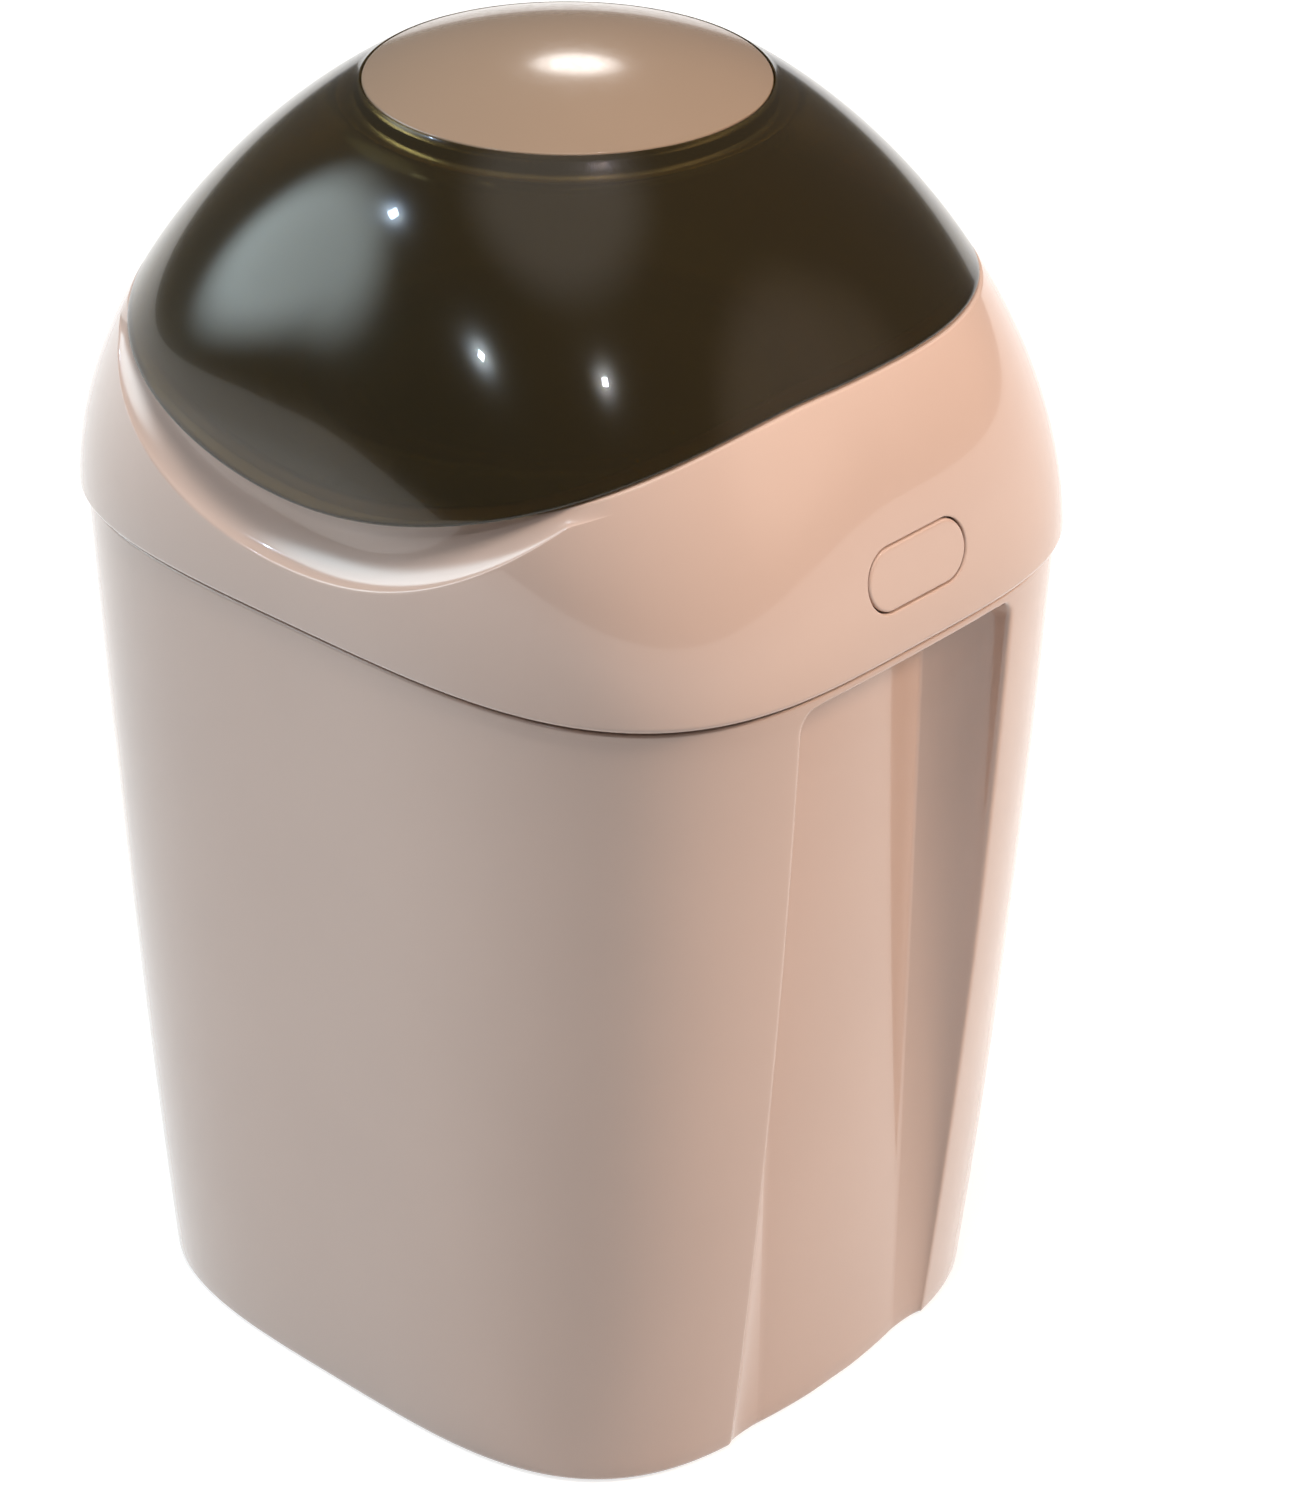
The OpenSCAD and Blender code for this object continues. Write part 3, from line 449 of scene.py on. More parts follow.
def scoop_share(angle):
    """0 in the middle of the finger scoop, 1 from its ends round the back."""
    across = crown_r(angle, edge_z(angle)) * np.abs(np.cos(angle)) / SCOOP_HALF
    return np.where(from_front(angle) < 90, np.minimum(1, across), 1)


def scoop_top(angle):
    return edge_z(angle) - LID_GAP / 2


def scoop_foot(angle):
    return scoop_top(angle) - np.maximum(4, SCOOP_H * (1 - scoop_share(angle) ** 3))


def scoop_in(angle, z):
    """Depth of the scoop: a quarter round that bites in at its foot."""
    u = np.clip((z - scoop_foot(angle)) / (scoop_top(angle) - scoop_foot(angle)), 0, 1)
    return SCOOP_DEPTH * (1 - scoop_share(angle) ** 2) * np.sqrt(1 - (1 - u) ** 2)


def head_inner_r(angle, z):
    """Inner face of the head's wall, which follows the scoop."""
    return crown_r(angle, z) - scoop_in(angle, z + WALL) - reach_in(angle, z, WALL)


# %% [markdown]
# ## The head
# One grid again, closed on itself: up the outside, through the scoop, over the
# upstand that the lid closes round, and down the inside. Two long openings for the
# catch buttons are cut afterwards: a block of the grid is taken out, and rings of
# points lead from its edge to a long round opening, all on the same curved surface.

# %% Rows of the head
HEAD_COLS = 576
around = np.arange(HEAD_COLS) * 2 * np.pi / HEAD_COLS
HEAD_LOW = SEAM + SEAM_GAP / 2
DECK_TOP = float(scoop_top(-np.pi / 2)) - DECK_DROP
DECK_LOW = DECK_TOP - DECK_T
up = np.linspace(0, 1, 49)[:, None]


def head_rows():
    """(points, first row of the outside block, first row of the inside block)."""
    rim_in, rim_z = fillet(HEAD_ROUND, 7)
    rows = [polar(crown_r(around, HEAD_LOW + z) - i, around, HEAD_LOW + z)
            for i, z in zip(rim_in, rim_z)]
    foot = scoop_foot(around)
    low = HEAD_LOW + HEAD_ROUND + 0.3
    z = low + (foot - 3.2 - low) * up
    first = len(rows)
    rows += list(polar(crown_r(around, z), around, z))
    z = foot - np.array([2.5, 1.9, 1.4, 1.0, 0.65, 0.3])[:, None]
    rows += list(polar(crown_r(around, z), around, z))
    crease = len(rows)
    q = np.r_[0, 0.035, 0.075, 0.125, np.linspace(0.19, np.pi / 2, 19)[:-1]][:, None]
    z = foot + (scoop_top(around) - foot - 0.6) * (1 - np.cos(q))
    rows += list(polar(crown_r(around, z) - scoop_in(around, z), around, z))
    top = scoop_top(around)
    bite = scoop_in(around, top)
    back = np.maximum(UPSTAND_IN, bite + 0.4)
    deep = np.maximum(UPSTAND_IN + UPSTAND_T, bite + WALL)
    for inward, rise in ((bite, -0.5), (bite + 0.03, -0.2), (bite + 0.12, -0.04),
                         (bite + 0.3, 0), (back - 0.1, 0), (back, 0.15),
                         (back, UPSTAND_H - 0.6), (back + 0.12, UPSTAND_H - 0.15),
                         (back + 0.5, UPSTAND_H), (deep - 0.5, UPSTAND_H),
                         (deep - 0.12, UPSTAND_H - 0.15), (deep, UPSTAND_H - 0.6),
                         (deep, 0.5), (deep, -1.2)):
        z = np.maximum(top + rise, DECK_TOP + 0.7)
        rows.append(polar(crown_r(around, z) - inward, around, z))
    under = np.maximum(top - 5, DECK_TOP + 0.6)
    z = HEAD_LOW + 0.6 + (under - HEAD_LOW - 0.6) * up[::-1]
    inside = len(rows)
    rows += list(polar(head_inner_r(around, z), around, z))
    rows.append(polar(head_inner_r(around, HEAD_LOW) + 0.08, around, HEAD_LOW + 0.1))
    rows.append(polar(head_inner_r(around, HEAD_LOW) + 0.25, around, HEAD_LOW))
    points = np.array(rows)
    near = np.clip(1.5 - np.abs(np.arange(len(points)) - crease) / 4, 0, 1)[:, None]
    bite = 1 - scoop_share(around) ** 2
    return soften(points, (near * bite)[..., None], 0, 6, False), first, inside


head_points, outside_row, inside_row = head_rows()
print("head rows", len(head_points))

# %% Openings for the catch buttons
BUTTON_DROP = 2.5
BUTTON_Z = DECK_LOW - BUTTON_DROP - BUTTON_GAP - BUTTON_H / 2
# half height and half length of the block of grid taken out, and the head's radius there
BLOCK_UP, BLOCK_ALONG, SIDE_R = 17, 29.5, 129


def side_face(y, z):
    """x of the crown's side face: the half width times the n-th root of 1 - |y/b|^n."""
    n = crown_n(z)
    return crown_a(z) * (1 - (np.abs(y) / crown_b(z)) ** n) ** (1 / n)


def nearest_on_core(y, z, w, h):
    """Foot (y, z) on the middle line of a long round shape, and the unit way out."""
    half = (w - h) / 2
    cy = np.clip(y, -half, half)
    way = np.stack([y - cy, z - BUTTON_Z], -1)
    return cy, way / np.linalg.norm(way, axis=-1, keepdims=True)


def block_ring(row0, row1, col0, col1):
    """Point numbers round a block of the head's grid, anticlockwise from outside."""
    cols, rows = np.arange(col0, col1 + 1), np.arange(row0, row1 + 1)
    low = row0 * HEAD_COLS + cols % HEAD_COLS
    high = row1 * HEAD_COLS + cols[::-1] % HEAD_COLS
    right = rows[1:-1] * HEAD_COLS + col1 % HEAD_COLS
    left = rows[::-1][1:-1] * HEAD_COLS + col0 % HEAD_COLS
    return np.concatenate([low, right, high, left])


def head_shape():
    """The head's grid with a block taken out at each button, outside and inside, and
    rings of points from the block's edge to the opening, through it, and back out."""
    points = head_points.reshape(-1, 3)
    rows = len(head_points)
    keep = np.ones((rows, HEAD_COLS), bool)
    quads = grid_quads(rows, HEAD_COLS, ring_rows=True)
    side_z = head_points[outside_row:outside_row + 49, 0, 2]
    k0, k1 = np.searchsorted(side_z, [BUTTON_Z - BLOCK_UP, BUTTON_Z + BLOCK_UP])
    span = int(np.ceil(BLOCK_ALONG / SIDE_R / (2 * np.pi / HEAD_COLS)))
    new, faces, total = [], [], len(points)
    radius = BUTTON_H / 2 + BUTTON_GAP
    for sign, middle in ((1, 0), (-1, HEAD_COLS // 2)):
        c0, c1 = middle - span, middle + span
        outer = block_ring(outside_row + k0, outside_row + k1, c0, c1)
        inner_top, inner_low = inside_row + 48 - k1, inside_row + 48 - k0
        inner = block_ring(inner_top, inner_low, c0, c1)
        cols = np.arange(c0, c1) % HEAD_COLS
        keep[outside_row + k0:outside_row + k1, cols] = False
        keep[inner_top:inner_low, cols] = False
        # the inside block runs downwards, so it is turned to start at the same corner
        wide, tall = c1 - c0 + 1, k1 - k0 + 1
        low, right = inner[wide + tall - 2:2 * wide + tall - 2][::-1], inner[wide:wide + tall - 2]
        high, left = inner[:wide][::-1], inner[2 * wide + tall - 2:][::-1]
        inner = np.concatenate([low, right[::-1], high, left[::-1]])
        oy, oz = points[outer, 1], points[outer, 2]
        cy, way = nearest_on_core(oy, oz, BUTTON_W, BUTTON_H)
        rings = []
        for t in (0.75, 0.52, 0.34, 0.2, 0.1):
            y = (cy + way[:, 0] * (radius + 0.6)) * (1 - t) + oy * t
            z = (BUTTON_Z + way[:, 1] * (radius + 0.6)) * (1 - t) + oz * t
            rings.append(rows_xyz(sign * side_face(y, z), y, z))
        for out, depth in ((0.6, 0), (0.35, 0.03), (0.12, 0.16), (0, 0.45), (0, 1.4), (0, 2.3)):
            y, z = cy + way[:, 0] * (radius + out), BUTTON_Z + way[:, 1] * (radius + out)
            rings.append(rows_xyz(sign * (side_face(y, z) - depth), y, z))
        iy, iz = points[inner, 1], points[inner, 2]
        y0, z0 = cy + way[:, 0] * radius, BUTTON_Z + way[:, 1] * radius
        thick = side_face(iy, iz) - np.abs(points[inner, 0])
        for t in (0.0, 0.1, 0.25, 0.5, 0.75):
            y, z = y0 * (1 - t) + iy * t, z0 * (1 - t) + iz * t
            rings.append(rows_xyz(sign * (side_face(y, z) - thick), y, z))
        chain = [outer] + [total + i * len(outer) + np.arange(len(outer))
                           for i in range(len(rings))] + [inner]
        for a, b in zip(chain[:-1], chain[1:]):
            faces += np.stack([a, np.roll(a, -1), np.roll(b, -1), b], -1).tolist()
        new += rings
        total += len(rings) * len(outer)
    points = np.concatenate([points] + new)
    return points, quads[keep].tolist() + faces


# %% Hinge lugs and screw bosses of the head
LID_AXIS_Z = float(edge_z(np.pi / 2)) + LID_GAP / 2 + 0.2
LID_LUG_R, LID_BARREL, LID_SIDE_BARREL = 4.2, 28.0, 13.0
LID_AXIS = (float(crown_b(LID_AXIS_Z)) + LID_LUG_R + 1.5, LID_AXIS_Z)
BOSS_ANGLE, BOSS_R, BOSS_H = np.radians(41), 4.0, 4.8


def head_lugs():
    """Two outer barrels for the tub hinge and two for the lid hinge."""
    ly, lz = LID_AXIS
    top = float(edge_z(np.pi / 2)) - LID_GAP / 2 - 1.2
    x0, x1 = HEAD_BARREL / 2 + BARREL_GAP, HEAD_BARREL / 2 + BARREL_GAP + SIDE_BARREL
    low = lug(HEAD_LUG_R, hy, hz, [
        (crown_b(HEAD_LOW) - WALL / 2, HEAD_LOW), (hy + HEAD_LUG_R - 0.5, hz + 1),
        (crown_b(HEAD_LOW + 10) - WALL / 2, HEAD_LOW + 18)], x0, x1)
    x0 = LID_BARREL / 2 + BARREL_GAP
    high = lug(LID_LUG_R, ly, lz, [
        (crown_b(top) - WALL / 2, top), (crown_b(top - 16) - WALL / 2, top - 16)],
        x0, x0 + LID_SIDE_BARREL)
    return [low, mirror_x(low), high, mirror_x(high)]


def boss(angle):
    """Round pillar on the deck that takes a screw, tied to the wall by a thin web."""
    q = np.arange(40) * 2 * np.pi / 40
    place = float(crown_r(angle, DECK_TOP)) - 10.5
    bx, by = place * np.cos(angle), place * np.sin(angle)
    z = DECK_TOP + np.array([0.02, BOSS_H - 0.5, BOSS_H - 0.15, BOSS_H])[:, None]
    r = np.array([BOSS_R, BOSS_R, BOSS_R - 0.15, BOSS_R - 0.5])[:, None]
    pillar = solid(rows_xyz(bx + r * np.cos(q), by + r * np.sin(q), z))
    end = float(crown_r(angle, DECK_TOP + BOSS_H)) - 0.8
    run = np.array([place + 3, end, end, place + 3])
    side = np.array([-1, -1, 1, 1])
    z = DECK_TOP + np.array([0.02, BOSS_H - 0.1])[:, None]
    web = solid(rows_xyz(run * np.cos(angle) - side * np.sin(angle),
                         run * np.sin(angle) + side * np.cos(angle), z))
    return joined(pillar, web)


bosses = [boss(a) for a in (BOSS_ANGLE, -BOSS_ANGLE, np.pi - BOSS_ANGLE, BOSS_ANGLE - np.pi)]
head = add_piece("head_moulding", joined(head_shape(), *head_lugs(), *bosses),
                 "head", "head_shell")

# %% [markdown]
# ## The catch buttons
# A button is a slice of the same crown surface with a long round outline, so that
# it lies flush, with an even gap and a softly rounded edge. The rings shrink from
# the outline to the middle, and a stem runs from its back to the latch arm.

# %% Build a button
ARM_OUT = 93.4


def button_shape():
    """Rings of a long round plate on the crown surface: middle, face, edge, back."""
    q = np.linspace(0, 1, 160, endpoint=False)
    half, r = (BUTTON_W - BUTTON_H) / 2, BUTTON_H / 2
    length = 4 * half + 2 * np.pi * r
    s = q * length
    arc = np.pi * r
    turn = np.select([s < arc, s < arc + 2 * half, s < 2 * arc + 2 * half],
                     [-np.pi / 2 + s / r, np.pi / 2, np.pi / 2 + (s - arc - 2 * half) / r],
                     1.5 * np.pi)
    core = np.select([s < arc, s < arc + 2 * half, s < 2 * arc + 2 * half],
                     [half, half - (s - arc), -half], -half + (s - 2 * arc - 2 * half))
    rings = []
    for scale, out, depth in ((1, -8, BUTTON_T), (1, -0.4, BUTTON_T), (1, 0, BUTTON_T - 0.4),
                              (1, 0, 1.6), (1, 0, 0.75), (1, -0.1, 0.4), (1, -0.3, 0.16),
                              (1, -0.6, 0.03), (1, -0.95, 0), (1, -1.6, 0), (0.8, -1.6, 0),
                              (0.6, -1.6, 0), (0.4, -1.6, 0), (0.2, -1.6, 0), (0.03, -1.6, 0)):
        y = scale * (core + (r + out) * np.cos(turn))
        z = BUTTON_Z + scale * (r + out) * np.sin(turn)
        rings.append(rows_xyz(side_face(y, z) - depth, y, z))
    cap_shape = solid(np.array(rings))
    back = float(side_face(0, BUTTON_Z)) - BUTTON_T + 0.6
    stem = along_x(circle(STEM_R, 0, BUTTON_Z, 40), ARM_OUT, back)
    return joined(cap_shape, stem)


right_cap = button_shape()
add_piece("button_cap_right", right_cap, "right_button", "button_right")
add_piece("button_cap_left", mirror_x(right_cap), "left_button", "button_left")

# %% [markdown]
# ## The button springs
# A spring's inner end stays on the deck's guide while its outer end goes in with the
# button. Each is a wire led round a helix; here it keeps one length and stays with the head.

# %% Wind the springs
SPRING_TURNS, SPRING_WIRE, SPRING_R, PUSH = 4, 0.9, STEM_R + 1.7, 4.0


def spring_shape(x0, x1):
    """Rings of wire round a line that climbs from x0 to x1 while it goes round the stem."""
    t = np.linspace(0, 1, 40 * SPRING_TURNS + 1)[:, None]
    k = np.arange(10) * 2 * np.pi / 10
    turn = 2 * np.pi * SPRING_TURNS * t
    r = SPRING_R + SPRING_WIRE / 2 * np.cos(k)
    x = x0 + SPRING_WIRE / 2 + (x1 - x0 - SPRING_WIRE) * t - SPRING_WIRE / 2 * np.sin(k)
    return solid(rows_xyz(x, r * np.cos(turn), BUTTON_Z + r * np.sin(turn)))


# the button's back leans in towards the top, so the wire ends a little short of it
LEAN_ROOM = 0.7
low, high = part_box("button_spring_right")
inner_end, outer_end = low.x / MM, high.x / MM - LEAN_ROOM
coil = spring_shape(inner_end, outer_end)
for side, sign, shape in (("right", 1, coil), ("left", -1, mirror_x(coil))):
    spring = add_piece(f"spring_{side}", shape, "head", f"button_spring_{side}")
    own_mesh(spring)

# %% [markdown]
# ## The lid
# The lid is one thin smoked shell. Because light passes through it, its inner face
# has to be as smooth as its outer one, so both come from the same formulas, a wall
# apart, and the lower edge and the seat of the disc are rounded rows between them.

# %% Build the lid
LID_COLS = 480
SEAT_R, SEAT_Z = DISC_D / 2 + DISC_GAP / 2, DISC_Z - DISC_SEAT
lid_around = np.arange(LID_COLS) * 2 * np.pi / LID_COLS


def lid_rows():
    """Ceiling, inner face down, rounded lower edge, outer face up, rim and seat."""
    low = edge_z(lid_around) + LID_GAP / 2
    ceiling = SEAT_Z - LID_WALL
    def inner(z):
        return crown_r(lid_around, z) - reach_in(lid_around, z, LID_WALL)
    top = inner(np.full(LID_COLS, ceiling - 1.0))
    rows = [polar(top * s, lid_around, ceiling) for s in (0.5, 0.9, 0.985)]
    rows.append(polar(top * 0.997, lid_around, ceiling - 0.3))
    share = (1 - np.cos(np.pi * np.linspace(0.5, 1, 44))) / 2
    for u in 2 * share - 1:
        z = (ceiling - 1) + (low + 0.8 - ceiling + 1) * u
        rows.append(polar(inner(z), lid_around, z))
    for inward, rise in ((LID_WALL - 0.1, 0.4), (LID_WALL - 0.3, 0.12), (LID_WALL - 0.8, 0),
                         (0.8, 0), (0.3, 0.12), (0.08, 0.4)):
        rows.append(polar(crown_r(lid_around, low + rise) - inward, lid_around, low + rise))
    for u in np.linspace(0, 1, 66):
        z = low + 0.8 + (DISC_Z - 0.5 - low - 0.8) * u
        rows.append(polar(crown_r(lid_around, z), lid_around, z))
    for r, z in ((SEAT_R + 0.42, -0.24), (SEAT_R + 0.22, -0.1), (SEAT_R + 0.08, -0.12),
                 (SEAT_R, -0.3), (SEAT_R, -0.8), (SEAT_R, -2.6), (SEAT_R - 0.1, -2.9),
                 (SEAT_R - 0.4, -3), (SEAT_R * 0.6, -3)):
        rows.append(polar(np.full(LID_COLS, r), lid_around, DISC_Z + z))
    return np.array(rows)


def lid_lug():
    """Middle barrel of the lid hinge, carried by a web on the back of the lid."""
    ly, lz = LID_AXIS
    return lug(LID_LUG_R, ly, lz, [
        (crown_b(lz + 10) - LID_WALL / 2, lz + 10), (crown_b(lz + 2.5) - LID_WALL / 2, lz + 2.5)],
        -LID_BARREL / 2, LID_BARREL / 2)


lid = add_piece("lid_dome", joined(solid(lid_rows()), lid_lug()), "lid", "lid_visor")

# %% [markdown]
# ## The top disc
# The disc is a shallow slice of a ball with a rounded rim, turned like a bowl on a
# lathe: a profile of radii and heights carried round a circle. The real one has a
# name pressed into it; here the face is left plain.

# %% Turn the disc
def disc_rows(cols=240):
    """Underside, upright rim, quarter round, then the ball's surface to the middle."""
    r = DISC_D / 2 - DISC_GAP / 2
    ball = (r * r + DISC_RISE ** 2) / (2 * DISC_RISE)
    soft = 0.5
    q = np.linspace(0, np.pi / 2, 6)
    span = np.r_[r - soft, np.linspace(r - 1.2, 1.5, 44)]
    dome = DISC_Z + DISC_RISE - ball + np.sqrt(ball ** 2 - span ** 2)
    radii = np.r_[r - 20, r - 0.3, r, r, r - soft * (1 - np.cos(q))[1:-1], span]
    heights = np.r_[SEAT_Z, SEAT_Z, SEAT_Z + 0.3, DISC_Z - soft + 0.1,
                    DISC_Z - soft + 0.1 + (soft + 0.05) * np.sin(q)[1:-1], dome]
    angle = np.arange(cols) * 2 * np.pi / cols
    return polar(radii[:, None], angle, heights[:, None])


disc = add_piece("top_disc", solid(disc_rows()), "lid", "lid_disc")

# %% [markdown]
# ## Plastics and steel
# Moulded plastic is never one flat colour. Its tint drifts slightly where the melt
# flowed, its gloss is broken by fine handling marks, and its surface waves by a few
# hundredths of a millimetre, which is what bends a reflection. One helper builds
# that recipe from noise on object coordinates, and each finish sets its own values.

# %% Recipe for a moulded finish
def mix_colours(tree, factor, light, dark):
    """Colour between two tints, led by a factor."""
    node = tree.nodes.new("ShaderNodeMix")
    node.data_type = "RGBA"
    node.inputs["A"].default_value = (*light, 1)
    node.inputs["B"].default_value = (*dark, 1)
    tree.links.new(factor, node.inputs["Factor"])
    return node.outputs["Result"]


def noise(tree, vector, scale, detail=3.0, stretch=(1, 1, 1)):
    """Noise at a scale per metre, stretched through a Mapping node."""
    place = tree.nodes.new("ShaderNodeMapping")
    place.inputs["Scale"].default_value = stretch
    tree.links.new(vector, place.inputs["Vector"])
    node = tree.nodes.new("ShaderNodeTexNoise")
    node.inputs["Scale"].default_value = scale
    node.inputs["Detail"].default_value = detail
    tree.links.new(place.outputs["Vector"], node.inputs["Vector"])
    return node.outputs["Fac"]


def ranged(tree, value, low, high, start=0.3, end=0.7):
    """Maps a noise value onto a range of roughness."""
    node = tree.nodes.new("ShaderNodeMapRange")
    node.inputs["From Min"].default_value = start
    node.inputs["From Max"].default_value = end
    node.inputs["To Min"].default_value = low
    node.inputs["To Max"].default_value = high
    tree.links.new(value, node.inputs["Value"])
    return node.outputs["Result"]


def bump(tree, height, distance, strength, under=None):
    """Bump from a height, over an earlier bump if there is one."""
    node = tree.nodes.new("ShaderNodeBump")
    node.inputs["Distance"].default_value = distance
    node.inputs["Strength"].default_value = strength
    tree.links.new(height, node.inputs["Height"])
    if under is not None:
        tree.links.new(under, node.inputs["Normal"])
    return node.outputs["Normal"]


def moulded(name, light, dark, gloss=(0.2, 0.3), drift=9.0, wave=0.0006, grain=0.00002,
            grain_scale=2600.0, marks=420.0, **sockets):
    """Plastic or metal: two tints led by a slow drift, roughness from fine marks, and
    two bumps, a slow wave and a fine grain. Extra sockets are set as plain values."""
    material = bpy.data.materials.new(name)
    material.use_nodes = True
    tree = material.node_tree
    shader = tree.nodes["Principled BSDF"]
    where = tree.nodes.new("ShaderNodeTexCoord").outputs["Object"]
    tint = ranged(tree, noise(tree, where, drift), 0, 1)
    tree.links.new(mix_colours(tree, tint, light, dark), shader.inputs["Base Color"])
    fine = noise(tree, where, marks, 4.0, (1, 1, 0.35))
    tree.links.new(ranged(tree, fine, *gloss), shader.inputs["Roughness"])
    normal = bump(tree, noise(tree, where, 22.0, 1.0), wave, 0.25)
    if grain:
        normal = bump(tree, noise(tree, where, grain_scale, 2.0), grain, 0.25, normal)
    tree.links.new(normal, shader.inputs["Normal"])
    for socket, value in sockets.items():
        shader.inputs[socket.replace("_", " ")].default_value = value
    return material


# %% [markdown]
# The values below are what the photograph shows: a glossy pale pink shell, a smoked
# lid that is nearly black until light comes through its edge, a taupe disc, and
# plain white or natural plastic inside.

# %% The finishes
shell_pink = moulded("shell_pink", (0.62, 0.46, 0.39), (0.58, 0.43, 0.365), (0.16, 0.24),
                     Coat_Weight=0.7, Coat_Roughness=0.04, IOR=1.5)
smoke_lid = moulded("smoke_lid", (0.21, 0.15, 0.05), (0.18, 0.125, 0.04), (0.15, 0.18),
                    wave=0.00004, grain=0.0, marks=24.0, Transmission_Weight=0.92, IOR=1.38,
                    Coat_Weight=0.35, Coat_Roughness=0.015)
disc_taupe = moulded("disc_taupe", (0.285, 0.205, 0.147), (0.26, 0.188, 0.134), (0.14, 0.22),
                     wave=0.0004, Coat_Weight=0.3, Coat_Roughness=0.04)
inner_white = moulded("inner_white", (0.70, 0.68, 0.64), (0.65, 0.63, 0.59), (0.35, 0.5),
                      grain=0.00006)
finger_rubber = moulded("finger_rubber", (0.52, 0.50, 0.47), (0.46, 0.44, 0.41), (0.5, 0.65),
                        grain=0.0001, grain_scale=1500.0)
pin_steel = moulded("pin_steel", (0.60, 0.60, 0.61), (0.52, 0.52, 0.53), (0.18, 0.34),
                    marks=900.0, wave=0.0002, Metallic=1.0)
film_blue = moulded("film_blue", (0.50, 0.66, 0.72), (0.42, 0.60, 0.68), (0.2, 0.4),
                    drift=120.0, wave=0.003, Transmission_Weight=0.2)
blade_steel = moulded("blade_steel", (0.68, 0.69, 0.70), (0.60, 0.61, 0.62), (0.12, 0.22),
                      marks=1400.0, wave=0.0001, Metallic=1.0)

# %% Give each piece and the listed CAD nodes their finish
dressed = {
    shell_pink: ["tub_moulding", "head_moulding", "button_cap_right", "button_cap_left"],
    smoke_lid: ["lid_dome"],
    disc_taupe: ["top_disc", "cassette_cover"],
    inner_white: ["deck", "throat_housing", "cutter_rails", "twist_ring", "cassette_case",
                  "catch_right", "catch_left", "latch_right", "latch_left", "cutter_bar"],
    finger_rubber: ["film_fingers"],
    pin_steel: ["head_hinge_pin", "lid_hinge_pin", "deck_screws", "housing_screws",
                "spring_right", "spring_left"],
    film_blue: ["film_pack"],
    blade_steel: ["cutter_blade"],
}
for finish, names in dressed.items():
    for name in names:
        materials = bpy.data.objects[name].data.materials
        materials.clear()
        materials.append(finish)
plain = [n for n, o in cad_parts.items() if not o.data.materials]
print("finishes:", len(dressed), "CAD nodes without one:", plain)

# %% [markdown]
# ## Floor and light
# The photograph is a cut-out on white, lit by a warm source from the right, a broad
# cooler one from the left and more light from above. The floor is pale and keeps a
# soft shadow. Seen by the camera it also glows, the more the farther it lies from the
# bin, which makes it white without more lamp light.

# %% Lay the floor
FLOOR_HALF, GLOW_NEAR, GLOW_FAR = 12.0, 0.8, 1.8


def floor_material(glow=0.74):
    """Pale floor that glows for camera and glossy rays, fully from GLOW_FAR metres out."""
    material = bpy.data.materials.new("floor_white")
    material.use_nodes = True
    tree = material.node_tree
    shader = tree.nodes["Principled BSDF"]
    shader.inputs["Base Color"].default_value = (0.45, 0.45, 0.45, 1)
    shader.inputs["Roughness"].default_value = 0.9
    shader.inputs["Specular IOR Level"].default_value = 0.1
    shader.inputs["Emission Color"].default_value = (1, 1, 1, 1)
    path = tree.nodes.new("ShaderNodeLightPath")
    either = tree.nodes.new("ShaderNodeMath")
    either.operation = "MAXIMUM"
    tree.links.new(path.outputs["Is Camera Ray"], either.inputs[0])
    tree.links.new(path.outputs["Is Glossy Ray"], either.inputs[1])
    times = tree.nodes.new("ShaderNodeMath")
    times.operation = "MULTIPLY"
    tree.links.new(either.outputs[0], times.inputs[0])
    where = tree.nodes.new("ShaderNodeTexCoord").outputs["Object"]
    away = tree.nodes.new("ShaderNodeVectorMath")
    away.operation = "LENGTH"
    tree.links.new(where, away.inputs[0])
    far = ranged(tree, away.outputs["Value"], glow, 1.0, GLOW_NEAR, GLOW_FAR)
    tree.links.new(far, times.inputs[1])
    tree.links.new(times.outputs[0], shader.inputs["Emission Strength"])
    return material


floor_mesh = bpy.data.meshes.new("floor")
floor_mesh.from_pydata([(-FLOOR_HALF, -FLOOR_HALF, 0), (FLOOR_HALF, -FLOOR_HALF, 0),
                        (FLOOR_HALF, FLOOR_HALF, 0), (-FLOOR_HALF, FLOOR_HALF, 0)],
                       [], [(0, 1, 2, 3)])
floor_mesh.materials.append(floor_material())
floor = bpy.data.objects.new("floor", floor_mesh)
bpy.context.scene.collection.objects.link(floor)


# %% [markdown]
# A big lamp with a hard edge would show as a bright square in the glossy lid. A real
# soft box is brightest in the middle, so the lamp's own nodes fade it towards its
# edge: Geometry's Parametric output gives the place on the lamp from 0 to 1. The two
# keys cast the clear shadows of the ledge and the lid. They are left out of what the
# lid reflects and lets through. The four spots are the lamps that sparkle on the lid.

# %% Hang the lamps
def hang(name, azimuth, elevation, distance, size, watts, colour):
    """Square area lamp at an azimuth from the front and an elevation, aimed at the bin."""
    a, e = math.radians(azimuth), math.radians(elevation)
    way = Vector((math.sin(a) * math.cos(e), -math.cos(a) * math.cos(e), math.sin(e)))
    data = bpy.data.lights.new(name, "AREA")
    data.shape, data.size, data.energy, data.color = "SQUARE", size, watts, colour
    lamp = bpy.data.objects.new(name, data)
    lamp.location = Vector((0, 0, 0.2)) + way * distance
    lamp.rotation_euler = way.to_track_quat("Z", "Y").to_euler()
    bpy.context.scene.collection.objects.link(lamp)
    return lamp


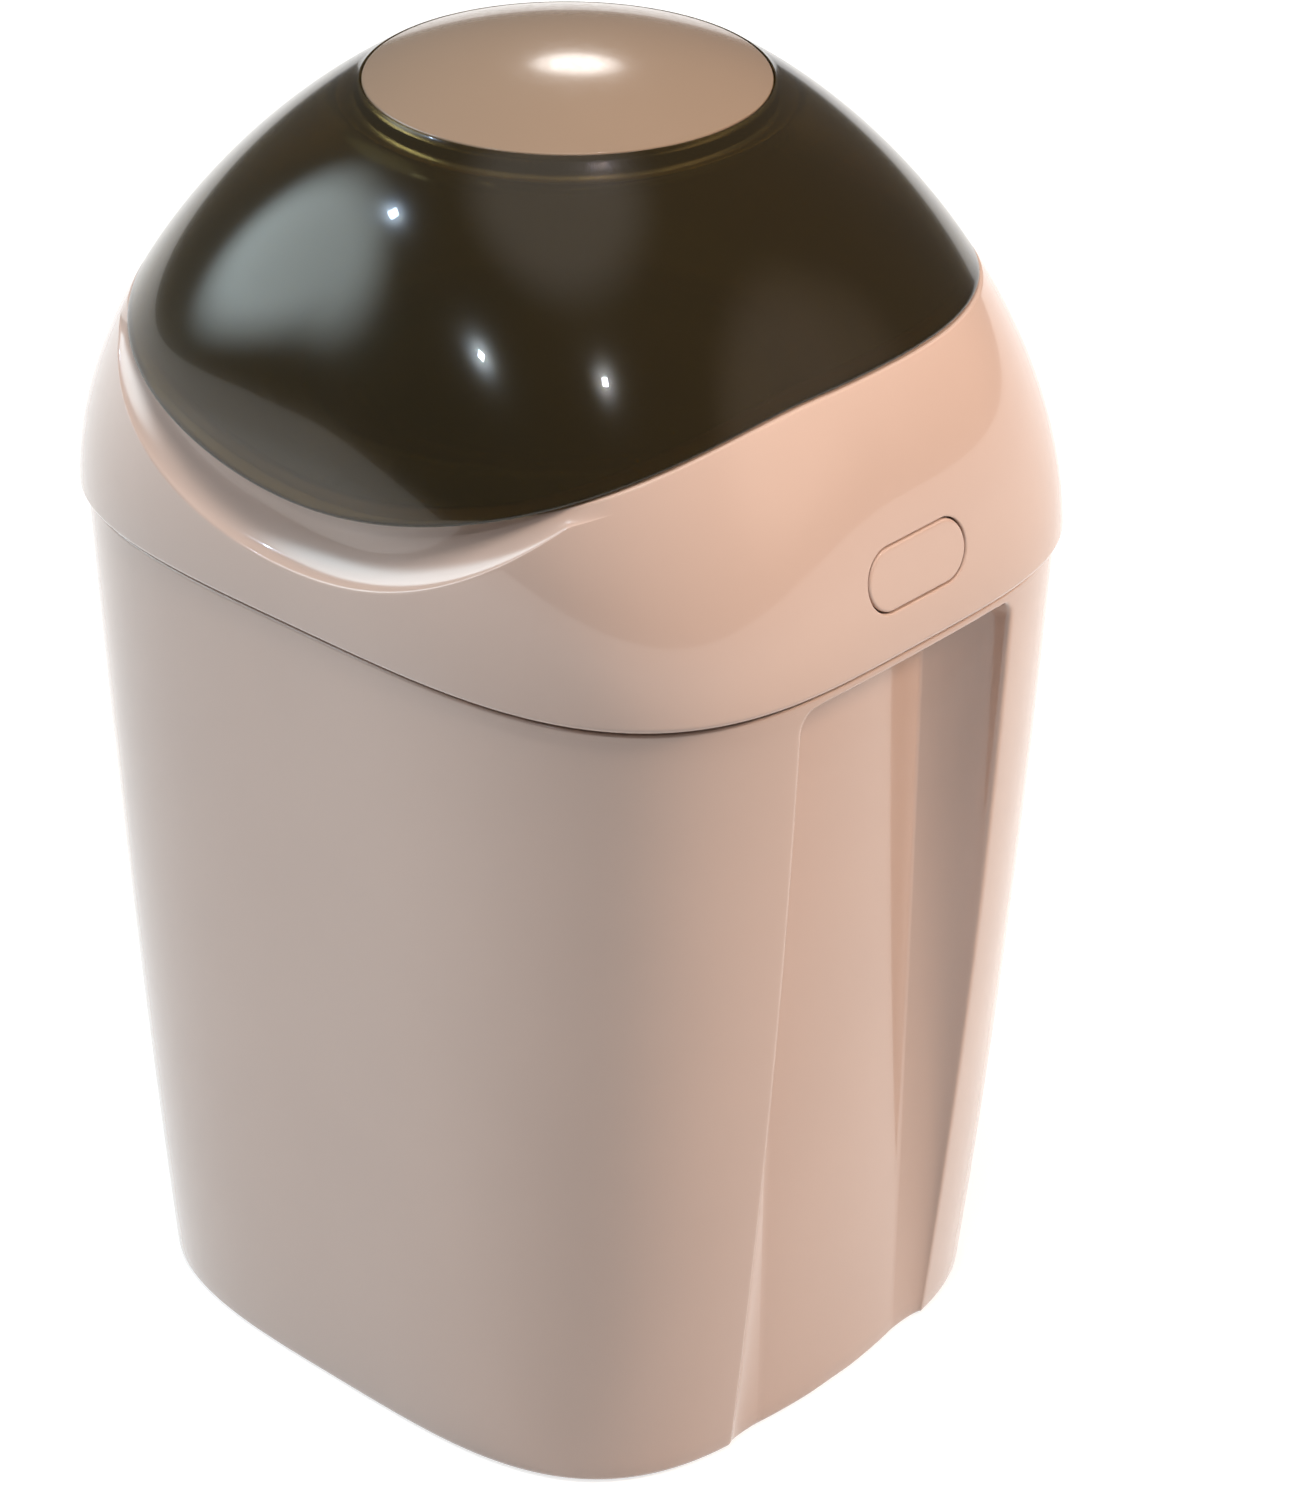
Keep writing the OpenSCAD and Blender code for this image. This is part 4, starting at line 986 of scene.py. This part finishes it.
def fade_out(lamp, full=0.22, none=0.5):
    """Strength falls smoothly from the middle of the lamp to its edge."""
    lamp.data.use_nodes = True
    tree = lamp.data.node_tree
    place = tree.nodes.new("ShaderNodeNewGeometry").outputs["Parametric"]
    away = tree.nodes.new("ShaderNodeVectorMath")
    away.operation = "DISTANCE"
    away.inputs[1].default_value = (0.5, 0.5, 0)
    flat = tree.nodes.new("ShaderNodeVectorMath")
    flat.operation = "MULTIPLY"
    flat.inputs[1].default_value = (1, 1, 0)
    tree.links.new(place, flat.inputs[0])
    tree.links.new(flat.outputs["Vector"], away.inputs[0])
    fall = tree.nodes.new("ShaderNodeMapRange")
    fall.interpolation_type = "SMOOTHSTEP"
    fall.inputs["From Min"].default_value = full
    fall.inputs["From Max"].default_value = none
    fall.inputs["To Min"].default_value = 1.0
    fall.inputs["To Max"].default_value = 0.0
    tree.links.new(away.outputs["Value"], fall.inputs["Value"])
    tree.links.new(fall.outputs["Result"], tree.nodes["Emission"].inputs["Strength"])


for lamp in (hang("window_right", 118, 27, 2.2, 2.1, 7, (1.0, 0.80, 0.66)),
             hang("fill_left", -59, 27, 2.2, 1.9, 50, (0.77, 0.93, 1.0)),
             hang("ceiling_glow", 0, 85, 2.1, 2.0, 9, (1.0, 0.96, 0.92)),
             hang("blob_back", -138, 38, 2.0, 0.40, 4.5, (1.0, 0.98, 0.95))):
    fade_out(lamp)
for lamp in (hang("key_right", 119, 38, 1.8, 0.40, 23, (1.0, 0.75, 0.58)),
             hang("key_above", 35, 75, 1.8, 0.50, 20, (1.0, 0.95, 0.89))):
    lamp.visible_glossy = lamp.visible_transmission = False
hang("spot_front", -3, 44, 1.8, 0.05, 2.2, (0.78, 0.90, 1.0))
hang("spot_right", 51, 52.5, 1.8, 0.05, 1.3, (0.92, 0.95, 1.0))
hang("spot_left", -52, 48, 1.8, 0.07, 1.8, (0.55, 0.74, 1.0))
hang("spot_back", -176, 80, 1.8, 0.05, 0.9, (1.0, 0.86, 0.90))

world = bpy.data.worlds.new("studio")
bpy.context.scene.world = world
world.use_nodes = True
sky = world.node_tree
path = sky.nodes.new("ShaderNodeLightPath")
level_mix = sky.nodes.new("ShaderNodeMapRange")
level_mix.inputs["To Min"].default_value = 0.12
level_mix.inputs["To Max"].default_value = 1.0
sky.links.new(path.outputs["Is Camera Ray"], level_mix.inputs["Value"])
sky.links.new(level_mix.outputs["Result"], sky.nodes["Background"].inputs["Strength"])
sky.nodes["Background"].inputs["Color"].default_value = (1, 1, 1, 1)
bpy.context.scene.view_settings.view_transform = "Standard"
